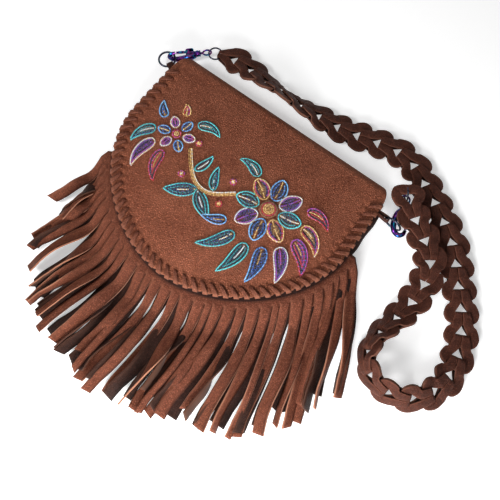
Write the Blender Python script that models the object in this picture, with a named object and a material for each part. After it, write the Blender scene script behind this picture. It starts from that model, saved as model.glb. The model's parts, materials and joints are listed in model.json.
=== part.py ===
"""Fringed leather bag with a chain strap, lying on its back with its flap up.

Metres, +Z up. The origin is the middle of the back panel's outer face.
X runs along the bag's top edge, Y towards the strap, Z up off the ground.
"""
import math

import bmesh
import bpy
import numpy as np
from mathutils import Matrix, Vector

# Clearances
GAP = 0.0003
RUNNING = 0.0004

# Leather thicknesses
PANEL_THICKNESS = 0.0018
GUSSET_THICKNESS = 0.0025
FRINGE_THICKNESS = 0.0015
LACE_THICKNESS = 0.001
TAB_THICKNESS = 0.0015

# Flap outline, seen flat
TOP_Y = 0.103
FLAP_DROP = 0.207
SHOULDER_DROP = 0.086
FOLD_HALF_WIDTH = 0.118
TOP_HALF_WIDTH = 0.132
SHOULDER_HALF_WIDTH = 0.1335
CORNER_DROP = 0.022
CURVE_POWER = 1.82

RIM_SIDE_STEPS = 60
RIM_CURVE_STEPS = 240
RIM_REACH = 0.003

# Pouch
GUSSET_HEIGHT = 0.0109
POUCH_INSET = 0.005
PANEL_STEPS = 40

# Flap lacing
STITCH_PITCH = 0.010
STITCH_INSET = 0.0112
LACE_WIDTH = 0.0046
HOLE_CLEARANCE = 0.0005
FIRST_HOLE_SHARE = 0.25

# Fringe
BAND_INSET = 0.013
BAND_MARGIN = 0.004
STRAND_PITCH = 0.0102
STRAND_WIDTH = 0.0092
STRAND_FILL = 0.84
FRINGE_LEFT_Y = -0.030
FRINGE_RIGHT_Y = 0.025
TIP_CENTER = Vector((0.030, -0.058))
TIP_RADIUS = 0.172
TIP_LEFT_ANGLE = math.radians(194.0)
TIP_RIGHT_ANGLE = math.radians(350.0)
TIP_VARIATION = 0.007
STRAND_FALL = 0.030
FALL_MIDDLE = 0.45
TIP_SLANT = 0.5
BACK_FRINGE_SHORTER = 0.006
BACK_FRINGE_SHIFT = 50
SLANT_SHIFT = 31

# Chain strap
LINK_COUNT = 34
LEG_WIDTH = 0.0075
LEG_GAP = 0.0008
LINK_THICKNESS = 0.0014
LINK_HALF_WIDTH = 0.01695
LINK_CLEARANCE = 0.0006
LOBE_LENGTH = 0.0049
LINK_SHOULDER = 0.0058
LINK_SHOULDER_IN = 0.0022
SHOULDER_LEAN = Vector((-0.62, 0.86))
ROUTE_SAMPLES = 12
FIRST_LEG_WIDTH = 0.0030
STRAP_LIFT = 0.0004
# Each point is x, y, the height that the strap is lifted by what it lies on,
# and the twist in degrees that raises its right-hand edge.
STRAP_ROUTE = (
    (-0.1077, 0.1270, 0.0052, 0),
    (-0.088, 0.1325, 0.0040, 4),
    (-0.066, 0.1320, 0.0015, 18),
    (-0.044, 0.129, 0, 38),
    (-0.022, 0.128, 0, 50),
    (0.000, 0.128, 0, 40),
    (0.020, 0.131, 0, 22),
    (0.042, 0.134, 0, 8),
    (0.064, 0.139, 0, 0),
    (0.086, 0.145, 0, 0),
    (0.108, 0.149, 0, 0),
    (0.130, 0.147, 0, 0),
    (0.150, 0.138, 0, 0),
    (0.170, 0.126, 0, 0),
    (0.190, 0.113, 0, 0),
    (0.207, 0.100, 0, 0),
    (0.222, 0.084, 0, 0),
    (0.236, 0.067, 0, 0),
    (0.250, 0.049, 0, 0),
    (0.262, 0.030, 0, 0),
    (0.271, 0.010, 0, 4),
    (0.276, -0.011, 0, 14),
    (0.274, -0.033, 0, 30),
    (0.263, -0.053, 0, 46),
    (0.244, -0.064, 0, 58),
    (0.222, -0.064, 0, 64),
    (0.205, -0.051, 0, 64),
    (0.201, -0.030, 0, 56),
    (0.205, -0.008, 0, 40),
    (0.209, 0.014, 0.001, 22),
    (0.210, 0.036, 0.005, 8),
    (0.206, 0.057, 0.0076, 0),
    (0.194, 0.074, 0.0080, 0),
    (0.1768, 0.0862, 0.0090, 0),
    (0.1597, 0.0972, 0.0095, 0),
    (0.146, 0.110, 0.0095, 0),
    (0.139, 0.119, 0.0095, 0),
)

# Rings and clasps
RING_STEPS = 16
RING_SIDES = 6
BAG_RING_RADIUS = 0.0089
BAG_RING_WIRE = 0.0011
STRAP_RING_RADIUS = 0.0071
RIGHT_STRAP_RING_RADIUS = 0.008
STRAP_RING_WIRE = 0.0009
EYE_RADIUS = 0.0045
EYE_WIRE = 0.001
EYE_STEM_RADIUS = 0.0013
EYE_STEM_REACH = 0.0045
EYE_OFFSET = 0.007
COLLAR_LENGTH = 0.006
COLLAR_RADIUS = 0.0036
CLASP_HALF_WIDTH = 0.0062
CLASP_REACH = 0.033
NOSE_SHARE = 0.83
NOSE_ACROSS = 0.97
NOSE_RADIUS = 0.0017
HOOK_RADIUS = 0.002
# Each point of the hook is a share of its reach and of its half width, and its radius.
HOOK_FORM = (
    (0.22, -0.13, 0.0030),
    (0.33, -0.58, 0.0026),
    (0.50, -0.95, 0.0023),
    (0.71, -1.00, HOOK_RADIUS),
    (0.90, -0.68, HOOK_RADIUS),
    (1.00, 0.00, HOOK_RADIUS),
    (0.95, 0.70, HOOK_RADIUS),
    (NOSE_SHARE, NOSE_ACROSS, NOSE_RADIUS),
)
GATE_RADIUS = 0.0015
GATE_ROOT_RADIUS = 0.0013
GATE_EYE_RADIUS = 0.0021
GATE_BEND = Vector((0.006, 0.93))
GATE_NOSE_GAP = 0.0012
GATE_PIN_RADIUS = 0.0007
GATE_PIVOT = Vector((0.0135, 0.0052))
EAR_HALF_WIDTH = 0.0028
EAR_BACK = 0.0006
EAR_LOW = 0.0022
EAR_FRONT = Vector((0.0022, 0.0019))
SLOT_HALF_WIDTH = 0.0016
SLOT_BACK = Vector((0.0027, 0.0028))
SLOT_FRONT = Vector((0.004, 0.004))
STEM_SINK = 0.6
LEFT_CLASP_BASE = Vector((-0.1245, 0.1165, 0.0095))
LEFT_CLASP_TIP = Vector((-0.1529, 0.0885, 0.0095))
RIGHT_CLASP_BASE = Vector((0.1487, 0.1026, 0.0054))
RIGHT_CLASP_TIP = Vector((0.1637, 0.0646, 0.0086))
LEFT_BAG_RING_CENTER = Vector((-0.1488, 0.0888, 0.0095))
LEFT_TAB_Y = 0.079
RIGHT_BAG_RING_CENTER = Vector((0.1507, 0.0771, 0.0108))
RIGHT_TAB_Y = 0.079
TAB_WIDTH = 0.007
TAB_SEAT = 0.0008
TAB_BEND_STEPS = 5
STRAP_RING_DROP = 0.0036
STRAP_RING_HOLD = 0.0030
STRAP_RING_REACH = 0.027

# Beadwork, laid on the flap
BEAD_HEIGHT = 0.0015
FLOWER_CENTER = Vector((0.046, 0.010))
FLOWER_RADIUS = 0.034
FLOWER_PETALS = 8
FLOWER_DEPTH = 0.35
FLOWER_TURN = 0.2
CENTER_RADIUS = 0.010
CENTER_PETALS = 12
CENTER_DEPTH = 0.05
BUD_CENTER = Vector((-0.078, 0.020))
BUD_RADIUS = 0.019
BUD_PETALS = 6
BUD_DEPTH = 0.4
BUD_TURN = 0.3
PETAL_STEPS = 6
STEM_WIDTH = 0.004
STEM_STEPS = 13
STEM_SAG = 0.022
STEM_BUD_END = Vector((0.002, -0.004))
STEM_FLOWER_END = Vector((-0.002, -0.006))
LEAF_LENGTH = 0.034
LEAF_WIDTH = 0.013
LEAF_SHARES = (0.15, 0.4, 0.7)
LEAF_TAPER = 0.8
LEAF_DIRECTION = Vector((0.83, -0.56)).normalized()
LEAF_GAP = 0.001
LEAF_WEB = 0.0006

# Heights of the layers, from the back of the bag upwards
GUSSET_BOTTOM = PANEL_THICKNESS + GAP
GUSSET_TOP = GUSSET_BOTTOM + GUSSET_HEIGHT
BACK_FRINGE_BOTTOM = GUSSET_TOP + GAP
FRONT_PANEL_BOTTOM = BACK_FRINGE_BOTTOM + FRINGE_THICKNESS + GAP
FRONT_FRINGE_BOTTOM = FRONT_PANEL_BOTTOM + PANEL_THICKNESS + GAP
LACE_BOTTOM = FRONT_FRINGE_BOTTOM + FRINGE_THICKNESS + GAP
FLAP_BOTTOM = LACE_BOTTOM + LACE_THICKNESS + GAP
FLAP_TOP = FLAP_BOTTOM + PANEL_THICKNESS
FOLD_OUTER_RADIUS = FLAP_TOP / 2
FOLD_INNER_RADIUS = FOLD_OUTER_RADIUS - PANEL_THICKNESS
HINGE = Vector((0.0, TOP_Y - FOLD_OUTER_RADIUS, FOLD_OUTER_RADIUS))
FOLD_SWEEP = math.radians(212.0)
FOLD_STEPS = 10
POUCH_TOP_Y = HINGE.y - FOLD_OUTER_RADIUS - GAP
BACK_TOP_Y = HINGE.y - math.sqrt(
    (FOLD_OUTER_RADIUS + GAP) ** 2 - (HINGE.z - PANEL_THICKNESS) ** 2)

# Link form, worked out from its strip of leather
STACK_STEP = LINK_THICKNESS + LINK_CLEARANCE
BAND_LEVEL = STACK_STEP / 2
LEG_LEVEL = BAND_LEVEL + STACK_STEP
LINK_HALF_HEIGHT = LEG_LEVEL + LINK_THICKNESS / 2

LEATHER = (0.22, 0.072, 0.040)
STRAP_LEATHER = (0.115, 0.037, 0.024)
FRINGE_LEATHER = (0.18, 0.058, 0.034)
LACE_LEATHER = (0.13, 0.045, 0.028)
IRIDESCENT = (0.10, 0.16, 0.42)
DARK_METAL = (0.05, 0.06, 0.09)
GOLD = (0.62, 0.42, 0.16)
TEAL = (0.02, 0.36, 0.38)
BLUE = (0.02, 0.10, 0.42)
VIOLET = (0.18, 0.03, 0.25)


def clear_scene():
    for old in list(bpy.data.objects):
        bpy.data.objects.remove(old, do_unlink=True)


def material(name, color, roughness, metallic=0.0):
    mat = bpy.data.materials.new(name)
    mat.use_nodes = True
    shader = mat.node_tree.nodes["Principled BSDF"]
    shader.inputs["Base Color"].default_value = (*color, 1.0)
    shader.inputs["Roughness"].default_value = roughness
    shader.inputs["Metallic"].default_value = metallic
    return mat


def solid(name, points, faces, mat, origin=(0.0, 0.0, 0.0)):
    """A closed mesh object whose origin lies at the given world point."""
    mesh = bpy.data.meshes.new(name)
    shift = Vector(origin)
    mesh.from_pydata([Vector(p) - shift for p in points], [], faces)
    work = bmesh.new()
    work.from_mesh(mesh)
    bmesh.ops.recalc_face_normals(work, faces=work.faces)
    work.to_mesh(mesh)
    work.free()
    made = bpy.data.objects.new(name, mesh)
    made.location = shift
    made.data.materials.append(mat)
    bpy.context.collection.objects.link(made)
    return made


def base_half_width(drop):
    """Half the flap's width at a distance below the top edge."""
    if drop <= SHOULDER_DROP:
        share = max(drop, 0.0) / SHOULDER_DROP
        growth = SHOULDER_HALF_WIDTH - TOP_HALF_WIDTH
        return TOP_HALF_WIDTH + growth * math.sin(share * math.pi / 2)
    share = min((drop - SHOULDER_DROP) / (FLAP_DROP - SHOULDER_DROP), 1.0)
    return SHOULDER_HALF_WIDTH * (1 - share ** CURVE_POWER) ** (1 / CURVE_POWER)


def half_width(drop):
    """Half the flap's width, with its rounded upper corners."""
    full = base_half_width(drop)
    if drop >= CORNER_DROP:
        return full
    share = math.sqrt(max(0.0, 1 - (1 - max(drop, 0.0) / CORNER_DROP) ** 2))
    return FOLD_HALF_WIDTH + (full - FOLD_HALF_WIDTH) * share


class Rim:
    """The flap's curved edge, measured along its length from the left."""

    def __init__(self, top_y):
        top_drop = TOP_Y - top_y
        side = [Vector((-half_width(d), TOP_Y - d))
                for d in np.linspace(top_drop, SHOULDER_DROP, RIM_SIDE_STEPS)]
        power = 2 / CURVE_POWER
        curve = []
        for angle in np.linspace(0, math.pi / 2, RIM_CURVE_STEPS)[1:]:
            reach = (FLAP_DROP - SHOULDER_DROP) * math.sin(angle) ** power
            width = SHOULDER_HALF_WIDTH * max(math.cos(angle), 0.0) ** power
            curve.append(Vector((-width, TOP_Y - SHOULDER_DROP - reach)))
        left = side + curve
        right = [Vector((-p.x, p.y)) for p in reversed(left[:-1])]
        self.points = np.array([tuple(p) for p in left + right])
        steps = np.linalg.norm(np.diff(self.points, axis=0), axis=1)
        self.lengths = np.concatenate(([0.0], np.cumsum(steps)))
        self.length = self.lengths[-1]

    def at(self, distance):
        x = np.interp(distance, self.lengths, self.points[:, 0])
        y = np.interp(distance, self.lengths, self.points[:, 1])
        return Vector((x, y))

    def tangent(self, distance):
        ahead = self.at(min(distance + RIM_REACH, self.length))
        behind = self.at(max(distance - RIM_REACH, 0.0))
        return (ahead - behind).normalized()

    def outward(self, distance):
        along = self.tangent(distance)
        return Vector((along.y, -along.x))

    def offset(self, distance, outwards):
        return self.at(distance) + self.outward(distance) * outwards

    def where_y(self, y, right=False):
        """The distance along the rim at which it crosses a height Y."""
        half = len(self.lengths) // 2
        if right:
            return float(np.interp(y, self.points[half:, 1], self.lengths[half:]))
        return float(np.interp(-y, -self.points[:half + 1, 1], self.lengths[:half + 1]))


def slab(name, outline, bottom, thickness, mat):
    """A flat sheet with the given outline."""
    count = len(outline)
    points = [(p.x, p.y, bottom + thickness) for p in outline]
    points += [(p.x, p.y, bottom) for p in outline]
    faces = [tuple(range(count)), tuple(range(2 * count - 1, count - 1, -1))]
    faces += [(k, (k + 1) % count, count + (k + 1) % count, count + k)
              for k in range(count)]
    return solid(name, points, faces, mat)


def pouch_outline(rim, top_y, inset):
    start = rim.where_y(top_y)
    end = rim.where_y(top_y, right=True)
    outline = [rim.offset(d, -inset) for d in np.linspace(start, end, PANEL_STEPS)]
    outline[0].y = top_y
    outline[-1].y = top_y
    return outline


def make_back_panel(rim, mat):
    outline = pouch_outline(rim, BACK_TOP_Y, POUCH_INSET)
    return slab("back_panel", outline, 0.0, PANEL_THICKNESS, mat)


def make_front_panel(rim, mat):
    outline = pouch_outline(rim, POUCH_TOP_Y, POUCH_INSET)
    return slab("front_panel", outline, FRONT_PANEL_BOTTOM, PANEL_THICKNESS, mat)


def make_gusset(rim, mat):
    """The side wall: a U seen from above, open at the mouth."""
    outer = pouch_outline(rim, POUCH_TOP_Y, POUCH_INSET)
    inner = pouch_outline(rim, POUCH_TOP_Y, POUCH_INSET + GUSSET_THICKNESS)
    outline = outer + inner[::-1]
    count = len(outer)
    total = len(outline)
    points = [(p.x, p.y, GUSSET_TOP) for p in outline]
    points += [(p.x, p.y, GUSSET_BOTTOM) for p in outline]
    faces = []
    for k in range(count - 1):
        far = total - 1 - k
        faces.append((k, k + 1, far - 1, far))
        faces.append((total + k, total + far, total + far - 1, total + k + 1))
    faces += [(k, (k + 1) % total, total + (k + 1) % total, total + k)
              for k in range(total)]
    return solid("gusset", points, faces, mat)


def stitch_places(rim):
    """Where each lacing hole lies along the rim, and the pitch between them."""
    start = rim.where_y(TOP_Y - CORNER_DROP)
    laced = rim.length - 2 * start
    count = int(laced / STITCH_PITCH)
    pitch = laced / count
    return [start + pitch * (k + FIRST_HOLE_SHARE) for k in range(count)], pitch


def make_flap(rim, mat):
    """The flap and its fold in one sheet, with a hole for each stitch."""
    places, _ = stitch_places(rim)
    hole_half = LACE_WIDTH / 2 + HOLE_CLEARANCE
    hole_depth = LACE_THICKNESS / 2 + HOLE_CLEARANCE
    columns = [0.0]
    for place in places:
        columns += [place - hole_half, place + hole_half]
    columns.append(rim.length)
    hole_columns = {1 + 2 * k for k in range(len(places))}
    insets = (0.0, STITCH_INSET - hole_depth, STITCH_INSET + hole_depth)
    rows = [[rim.offset(d, -inset) for d in columns] for inset in insets]
    for row, inset in zip(rows, insets):
        row[0] = Vector((rows[0][0].x + inset, HINGE.y))
        row[-1] = Vector((rows[0][-1].x - inset, HINGE.y))
    count = len(columns)
    points = []
    for height in (FLAP_TOP, FLAP_BOTTOM):
        for row in rows:
            points += [(p.x, p.y, height) for p in row]
    flat = len(insets) * count

    def index(row, column, lower=False):
        return row * count + column + (flat if lower else 0)

    faces = []
    for column in range(count - 1):
        for row in range(2):
            corners = [(row, column), (row, column + 1),
                       (row + 1, column + 1), (row + 1, column)]
            if row == 1 and column in hole_columns:
                for k in range(4):
                    a = corners[k]
                    b = corners[(k + 1) % 4]
                    faces.append((index(*a), index(*b),
                                  index(*b, True), index(*a, True)))
                continue
            faces.append(tuple(index(*c) for c in corners))
            faces.append(tuple(index(*c, True) for c in reversed(corners)))
        faces.append((index(0, column), index(0, column, True),
                      index(0, column + 1, True), index(0, column + 1)))
    faces.append(tuple(index(2, k) for k in range(count)))
    faces.append(tuple(index(2, k, True) for k in reversed(range(count))))

    fold_line = [(0, 0), (1, 0), (2, 0), (2, count - 1), (1, count - 1), (0, count - 1)]
    above = [index(*c) for c in fold_line]
    below = [index(*c, True) for c in fold_line]
    for step in range(1, FOLD_STEPS + 1):
        angle = FOLD_SWEEP * step / FOLD_STEPS
        reach = FOLD_OUTER_RADIUS * (math.sin(angle) if angle < math.pi / 2 else 1.0)
        width = half_width(TOP_Y - HINGE.y - reach)
        start = len(points)
        for radius in (FOLD_OUTER_RADIUS, FOLD_INNER_RADIUS):
            y = HINGE.y + radius * math.sin(angle)
            z = HINGE.z + radius * math.cos(angle)
            points += [(-width, y, z), (width, y, z)]
        new_above = [start, start + 1]
        new_below = [start + 2, start + 3]
        faces.append(tuple(above + new_above[::-1]))
        faces.append(tuple(reversed(below + new_below[::-1])))
        faces.append((above[0], new_above[0], new_below[0], below[0]))
        faces.append((above[-1], below[-1], new_below[1], new_above[1]))
        above = new_above
        below = new_below
    faces.append((above[0], above[1], below[1], below[0]))
    return solid("flap", points, faces, mat, HINGE)


def make_lacing(rim, mat):
    """One flat lace that goes over the rim and back up through each hole."""
    places, pitch = stitch_places(rim)
    half = LACE_THICKNESS / 2
    high = FLAP_TOP + GAP + half
    low = FLAP_BOTTOM - GAP - half
    outside = 2 * GAP + half
    points = []
    faces = []

    def station(place, offset, height, out_sign, up_sign):
        along = rim.tangent(place) * (LACE_WIDTH / 2)
        for sign in (1, -1):
            center = rim.offset(place, offset + sign * out_sign * half)
            level = height + sign * up_sign * half
            points.append((center.x - along.x, center.y - along.y, level))
            points.append((center.x + along.x, center.y + along.y, level))

    for place in places:
        over = place + pitch / 2
        station(place, -STITCH_INSET, low, -1, -1)
        station(place, -STITCH_INSET, high, -1, 1)
        station(over, outside, high, 1, 1)
        station(over, outside, low, 1, -1)
    rings = len(points) // 4
    for ring in range(rings - 1):
        a = 4 * ring
        b = a + 4
        faces += [(a, a + 1, b + 1, b), (a + 2, b + 2, b + 3, a + 3),
                  (a, b, b + 2, a + 2), (a + 1, a + 3, b + 3, b + 1)]
    last = 4 * (rings - 1)
    faces += [(0, 2, 3, 1), (last, last + 1, last + 3, last + 2)]
    return solid("flap_lacing", points, faces, mat, HINGE)


def strand_variation(number):
    """A fixed uneven value between -1 and 1 for a strand."""
    return math.sin(number * 12.9898 + 1.7) * math.cos(number * 4.1414)


class Fringe:
    """A strip of leather in the front seam, cut into hanging strands."""

    def __init__(self, rim, name, bottom, floor, shift, reach, mat):
        self.rim = rim
        self.name = name
        self.bottom = bottom
        self.floor = floor
        self.shift = shift
        self.reach = reach
        self.mat = mat
        self.start = rim.where_y(FRINGE_LEFT_Y)
        self.end = rim.where_y(FRINGE_RIGHT_Y, right=True)
        self.count = round((self.end - self.start) / STRAND_PITCH)

    def place(self, position):
        return self.start + (self.end - self.start) * position / self.count

    def root(self, position):
        return self.rim.offset(self.place(position), BAND_MARGIN)

    def tip(self, position, longer=0.0):
        share = position / self.count
        angle = TIP_LEFT_ANGLE + (TIP_RIGHT_ANGLE - TIP_LEFT_ANGLE) * share
        direction = Vector((math.cos(angle), math.sin(angle)))
        return TIP_CENTER + direction * (self.reach + longer)

    def spacing(self, position, share):
        """The room that a strand has across its own direction."""
        ahead = self.root(position + 0.5).lerp(self.tip(position + 0.5), share)
        behind = self.root(position - 0.5).lerp(self.tip(position - 0.5), share)
        step = ahead - behind
        along = (self.tip(position) - self.root(position)).normalized()
        return abs(step.x * along.y - step.y * along.x)

    def height(self, distance):
        share = min(distance / STRAND_FALL, 1.0)
        eased = 1 - share * share * (3 - 2 * share)
        return self.floor + (self.bottom - self.floor) * eased

    def build(self):
        lift = FRINGE_THICKNESS
        columns = [self.place(k) for k in range(self.count + 1)]
        points = []
        faces = []
        for height in (self.bottom + lift, self.bottom):
            points += [(*self.rim.offset(d, BAND_MARGIN), height) for d in columns]
            points += [(*self.rim.offset(d, -BAND_INSET), height) for d in columns]
        row = self.count + 1

        for k in range(self.count):
            inner = row + k
            faces.append((k, k + 1, inner + 1, inner))
            faces.append((2 * row + k, 2 * row + inner,
                          2 * row + inner + 1, 2 * row + k + 1))
            faces.append((inner, inner + 1, 2 * row + inner + 1, 2 * row + inner))
            self.add_strand(k, row, points, faces)
        for k in (0, self.count):
            faces.append((k, row + k, 3 * row + k, 2 * row + k))
        return solid(self.name, points, faces, self.mat)

    def add_strand(self, k, row, points, faces):
        middle = k + 0.5
        longer = TIP_VARIATION * strand_variation(k + self.shift)
        root = self.root(middle)
        tip = self.tip(middle, longer)
        length = (tip - root).length
        along = (tip - root) / length
        across = Vector((-along.y, along.x))
        if across.dot(self.rim.tangent(self.place(middle))) < 0:
            across = -across
        previous = (k, k + 1, 2 * row + k, 2 * row + k + 1)
        for distance in (STRAND_FALL * FALL_MIDDLE, STRAND_FALL, length):
            share = distance / length
            room = self.spacing(middle, share) * STRAND_FILL
            half = min(STRAND_WIDTH, room) / 2
            center = root + along * distance
            slant = Vector((0, 0))
            if distance == length:
                slant = along * (half * TIP_SLANT * strand_variation(k + SLANT_SHIFT))
            height = self.height(distance)
            start = len(points)
            for level in (height + FRINGE_THICKNESS, height):
                left = center - across * half - slant
                right = center + across * half + slant
                points.extend([(*left, level), (*right, level)])
            now = (start, start + 1, start + 2, start + 3)
            a, b, c, d = previous
            e, f, g, h = now
            faces.extend([(a, e, f, b), (c, d, h, g), (a, c, g, e), (b, f, h, d)])
            previous = now
        a, b, c, d = previous
        faces.append((a, c, d, b))


class Route:
    """The strap's centre line with its height, twist and length."""

    def __init__(self, points):
        table = np.array(points, dtype=float)
        ends = np.vstack([2 * table[0] - table[1], table, 2 * table[-1] - table[-2]])
        dense = []
        for k in range(1, len(ends) - 2):
            for share in np.linspace(0, 1, ROUTE_SAMPLES, endpoint=False):
                dense.append(self.between(ends[k - 1:k + 3], share))
        dense.append(table[-1])
        table = np.array(dense)
        twist = np.radians(table[:, 3])
        drop = LINK_HALF_WIDTH * np.abs(np.sin(twist))
        drop += LINK_HALF_HEIGHT * np.abs(np.cos(twist))
        self.centers = np.column_stack([table[:, :2], STRAP_LIFT + drop + table[:, 2]])
        self.twist = twist
        steps = np.linalg.norm(np.diff(self.centers, axis=0), axis=1)
        self.lengths = np.concatenate(([0.0], np.cumsum(steps)))
        self.directions = np.gradient(self.centers, self.lengths, axis=0)

    @staticmethod
    def between(four, t):
        a, b, c, d = four
        return 0.5 * (2 * b + (c - a) * t + (2 * a - 5 * b + 4 * c - d) * t ** 2
                      + (3 * b - a - 3 * c + d) * t ** 3)

    def frame(self, distance):
        center = Vector([np.interp(distance, self.lengths, self.centers[:, k])
                         for k in range(3)])
        along = Vector([np.interp(distance, self.lengths, self.directions[:, k])
                        for k in range(3)]).normalized()
        twist = float(np.interp(distance, self.lengths, self.twist))
        level = along.cross(Vector((0, 0, 1))).normalized()
        upright = level.cross(along)
        side = level * math.cos(twist) + upright * math.sin(twist)
        normal = upright * math.cos(twist) - level * math.sin(twist)
        return center, along, side, normal

    def place(self, start, local):
        """World point of a link's own (along, side, up) point."""
        center, _, side, normal = self.frame(start + local[0])
        return center + side * local[1] + normal * local[2]


def link_stations(pitch, fold_leg):
    """Strip centre, its half width across and its level, round one quarter."""
    near = fold_leg / 2 + LEG_GAP / 2
    full = LEG_WIDTH / 2
    band_back = pitch + LINK_THICKNESS / 2 + LINK_CLEARANCE
    band_middle = band_back + full
    outer = LINK_HALF_WIDTH - full
    leg_front = LINK_THICKNESS / 2 + LINK_CLEARANCE + LEG_WIDTH + LINK_CLEARANCE
    # Each station is along, side, level, and the strip's half-width vector.
    return (
        (0.0, near, LEG_LEVEL, (0.0, fold_leg / 2)),
        (leg_front, full + LEG_GAP, LEG_LEVEL, (0.0, full)),
        (leg_front + LINK_SHOULDER, outer - LINK_SHOULDER_IN, BAND_LEVEL,
         tuple(SHOULDER_LEAN * full)),
        (band_middle - LOBE_LENGTH, outer, BAND_LEVEL, (0.0, full)),
        (band_middle, outer - LOBE_LENGTH, BAND_LEVEL, (full, 0.0)),
        (band_middle, 0.0, BAND_LEVEL, (full, 0.0)),
    )


def make_link(number, route, start, pitch, mat):
    """One leather ring, folded in half over the end bands of the link before."""
    fold_leg = FIRST_LEG_WIDTH if number == 1 else LEG_WIDTH
    quarter = link_stations(pitch, fold_leg)
    half = LINK_THICKNESS / 2
    loop = []
    for side_sign, level_sign, order in ((1, 1, 1), (-1, 1, -1), (-1, -1, 1), (1, -1, -1)):
        # The quarters share the station in the middle of each end band.
        stations = quarter if order == 1 else quarter[-2::-1]
        for along, side, level, (wide_along, wide_side) in stations:
            fold = -half if along == 0.0 else 0.0
            loop.append((along, side * side_sign, level * level_sign,
                         wide_along, wide_side * side_sign, level_sign, fold))
    points = []
    for along, side, level, wide_along, wide_side, up, fold in loop:
        for thick in (1, -1):
            for wide in (1, -1):
                local = (along + wide * wide_along + thick * fold,
                         side + wide * wide_side,
                         level + thick * up * half)
                points.append(route.place(start, local))
    count = len(loop)
    faces = []
    for k in range(count):
        a = 4 * k
        b = 4 * ((k + 1) % count)
        faces += [(a, a + 1, b + 1, b), (a + 2, b + 2, b + 3, a + 3),
                  (a, b, b + 2, a + 2), (a + 1, a + 3, b + 3, b + 1)]
    return solid(f"strap_link_{number:02d}", points, faces, mat)


def make_ring(name, center, normal, radius, wire, mat, origin=None):
    around = RING_STEPS
    section = RING_SIDES
    axis = Vector(normal).normalized()
    first = axis.orthogonal().normalized()
    second = axis.cross(first)
    points = []
    for k in range(around):
        turn = 2 * math.pi * k / around
        out = first * math.cos(turn) + second * math.sin(turn)
        for j in range(section):
            tilt = 2 * math.pi * j / section
            points.append(Vector(center) + out * (radius + wire * math.cos(tilt))
                          + axis * (wire * math.sin(tilt)))
    faces = []
    for k in range(around):
        for j in range(section):
            next_k = (k + 1) % around
            next_j = (j + 1) % section
            faces.append((k * section + j, next_k * section + j,
                          next_k * section + next_j, k * section + next_j))
    return solid(name, points, faces, mat, origin or center)


class Frame:
    """A clasp's own axes: along it, across its hook, and through it."""

    def __init__(self, base, tip, across):
        self.base = Vector(base)
        self.along = (Vector(tip) - self.base).normalized()
        self.through = self.along.cross(Vector(across)).normalized()
        self.across = self.through.cross(self.along)

    def point(self, along, across, through=0.0):
        return (self.base + self.along * along + self.across * across
                + self.through * through)


def rod(name, frame, path, radii, mat, origin, sides=8):
    """A round bar of changing radius along a path in the clasp's plane."""
    points = []
    for k, (along, across) in enumerate(path):
        before = Vector(path[max(k - 1, 0)])
        after = Vector(path[min(k + 1, len(path) - 1)])
        direction = (after - before).normalized()
        left = Vector((-direction.y, direction.x))
        for j in range(sides):
            turn = 2 * math.pi * (j + 0.5) / sides
            flat = radii[k] * math.cos(turn)
            deep = radii[k] * math.sin(turn)
            points.append(frame.point(along + left.x * flat, across + left.y * flat, deep))
    faces = [tuple(range(sides)), tuple(range(len(points) - 1, len(points) - 1 - sides, -1))]
    for k in range(len(path) - 1):
        for j in range(sides):
            a = k * sides + j
            b = k * sides + (j + 1) % sides
            faces.append((a, b, b + sides, a + sides))
    return solid(name, points, faces, mat, origin)


def block(name, frame, low, high):
    """A box in the clasp's own axes, used to add to or cut a body."""
    points = [frame.point(x, y, z) for x in (low[0], high[0])
              for y in (low[1], high[1]) for z in (low[2], high[2])]
    faces = [(0, 1, 3, 2), (4, 6, 7, 5), (0, 4, 5, 1), (2, 3, 7, 6), (0, 2, 6, 4), (1, 5, 7, 3)]
    return tool(solid(name, points, faces, bpy.data.materials["steel"]))


def drum(name, frame, place, axis, radius, length, sides=12):
    """A cylinder centred at a place in the clasp's plane."""
    center = frame.point(*place)
    axis = axis.normalized()
    first = axis.orthogonal().normalized()
    second = axis.cross(first)
    points = []
    for end in (-0.5, 0.5):
        for j in range(sides):
            turn = 2 * math.pi * j / sides
            points.append(center + axis * (end * length)
                          + first * (radius * math.cos(turn))
                          + second * (radius * math.sin(turn)))
    faces = [tuple(range(sides)), tuple(range(2 * sides - 1, sides - 1, -1))]
    faces += [(j, (j + 1) % sides, sides + (j + 1) % sides, sides + j) for j in range(sides)]
    return solid(name, points, faces, bpy.data.materials["steel"])


def tool(made):
    made.hide_render = True
    made.display_type = "WIRE"
    return made


def combine(made, other, operation):
    change = made.modifiers.new(operation.lower(), "BOOLEAN")
    change.operation = operation
    change.solver = "EXACT"
    change.object = tool(other)


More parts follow.
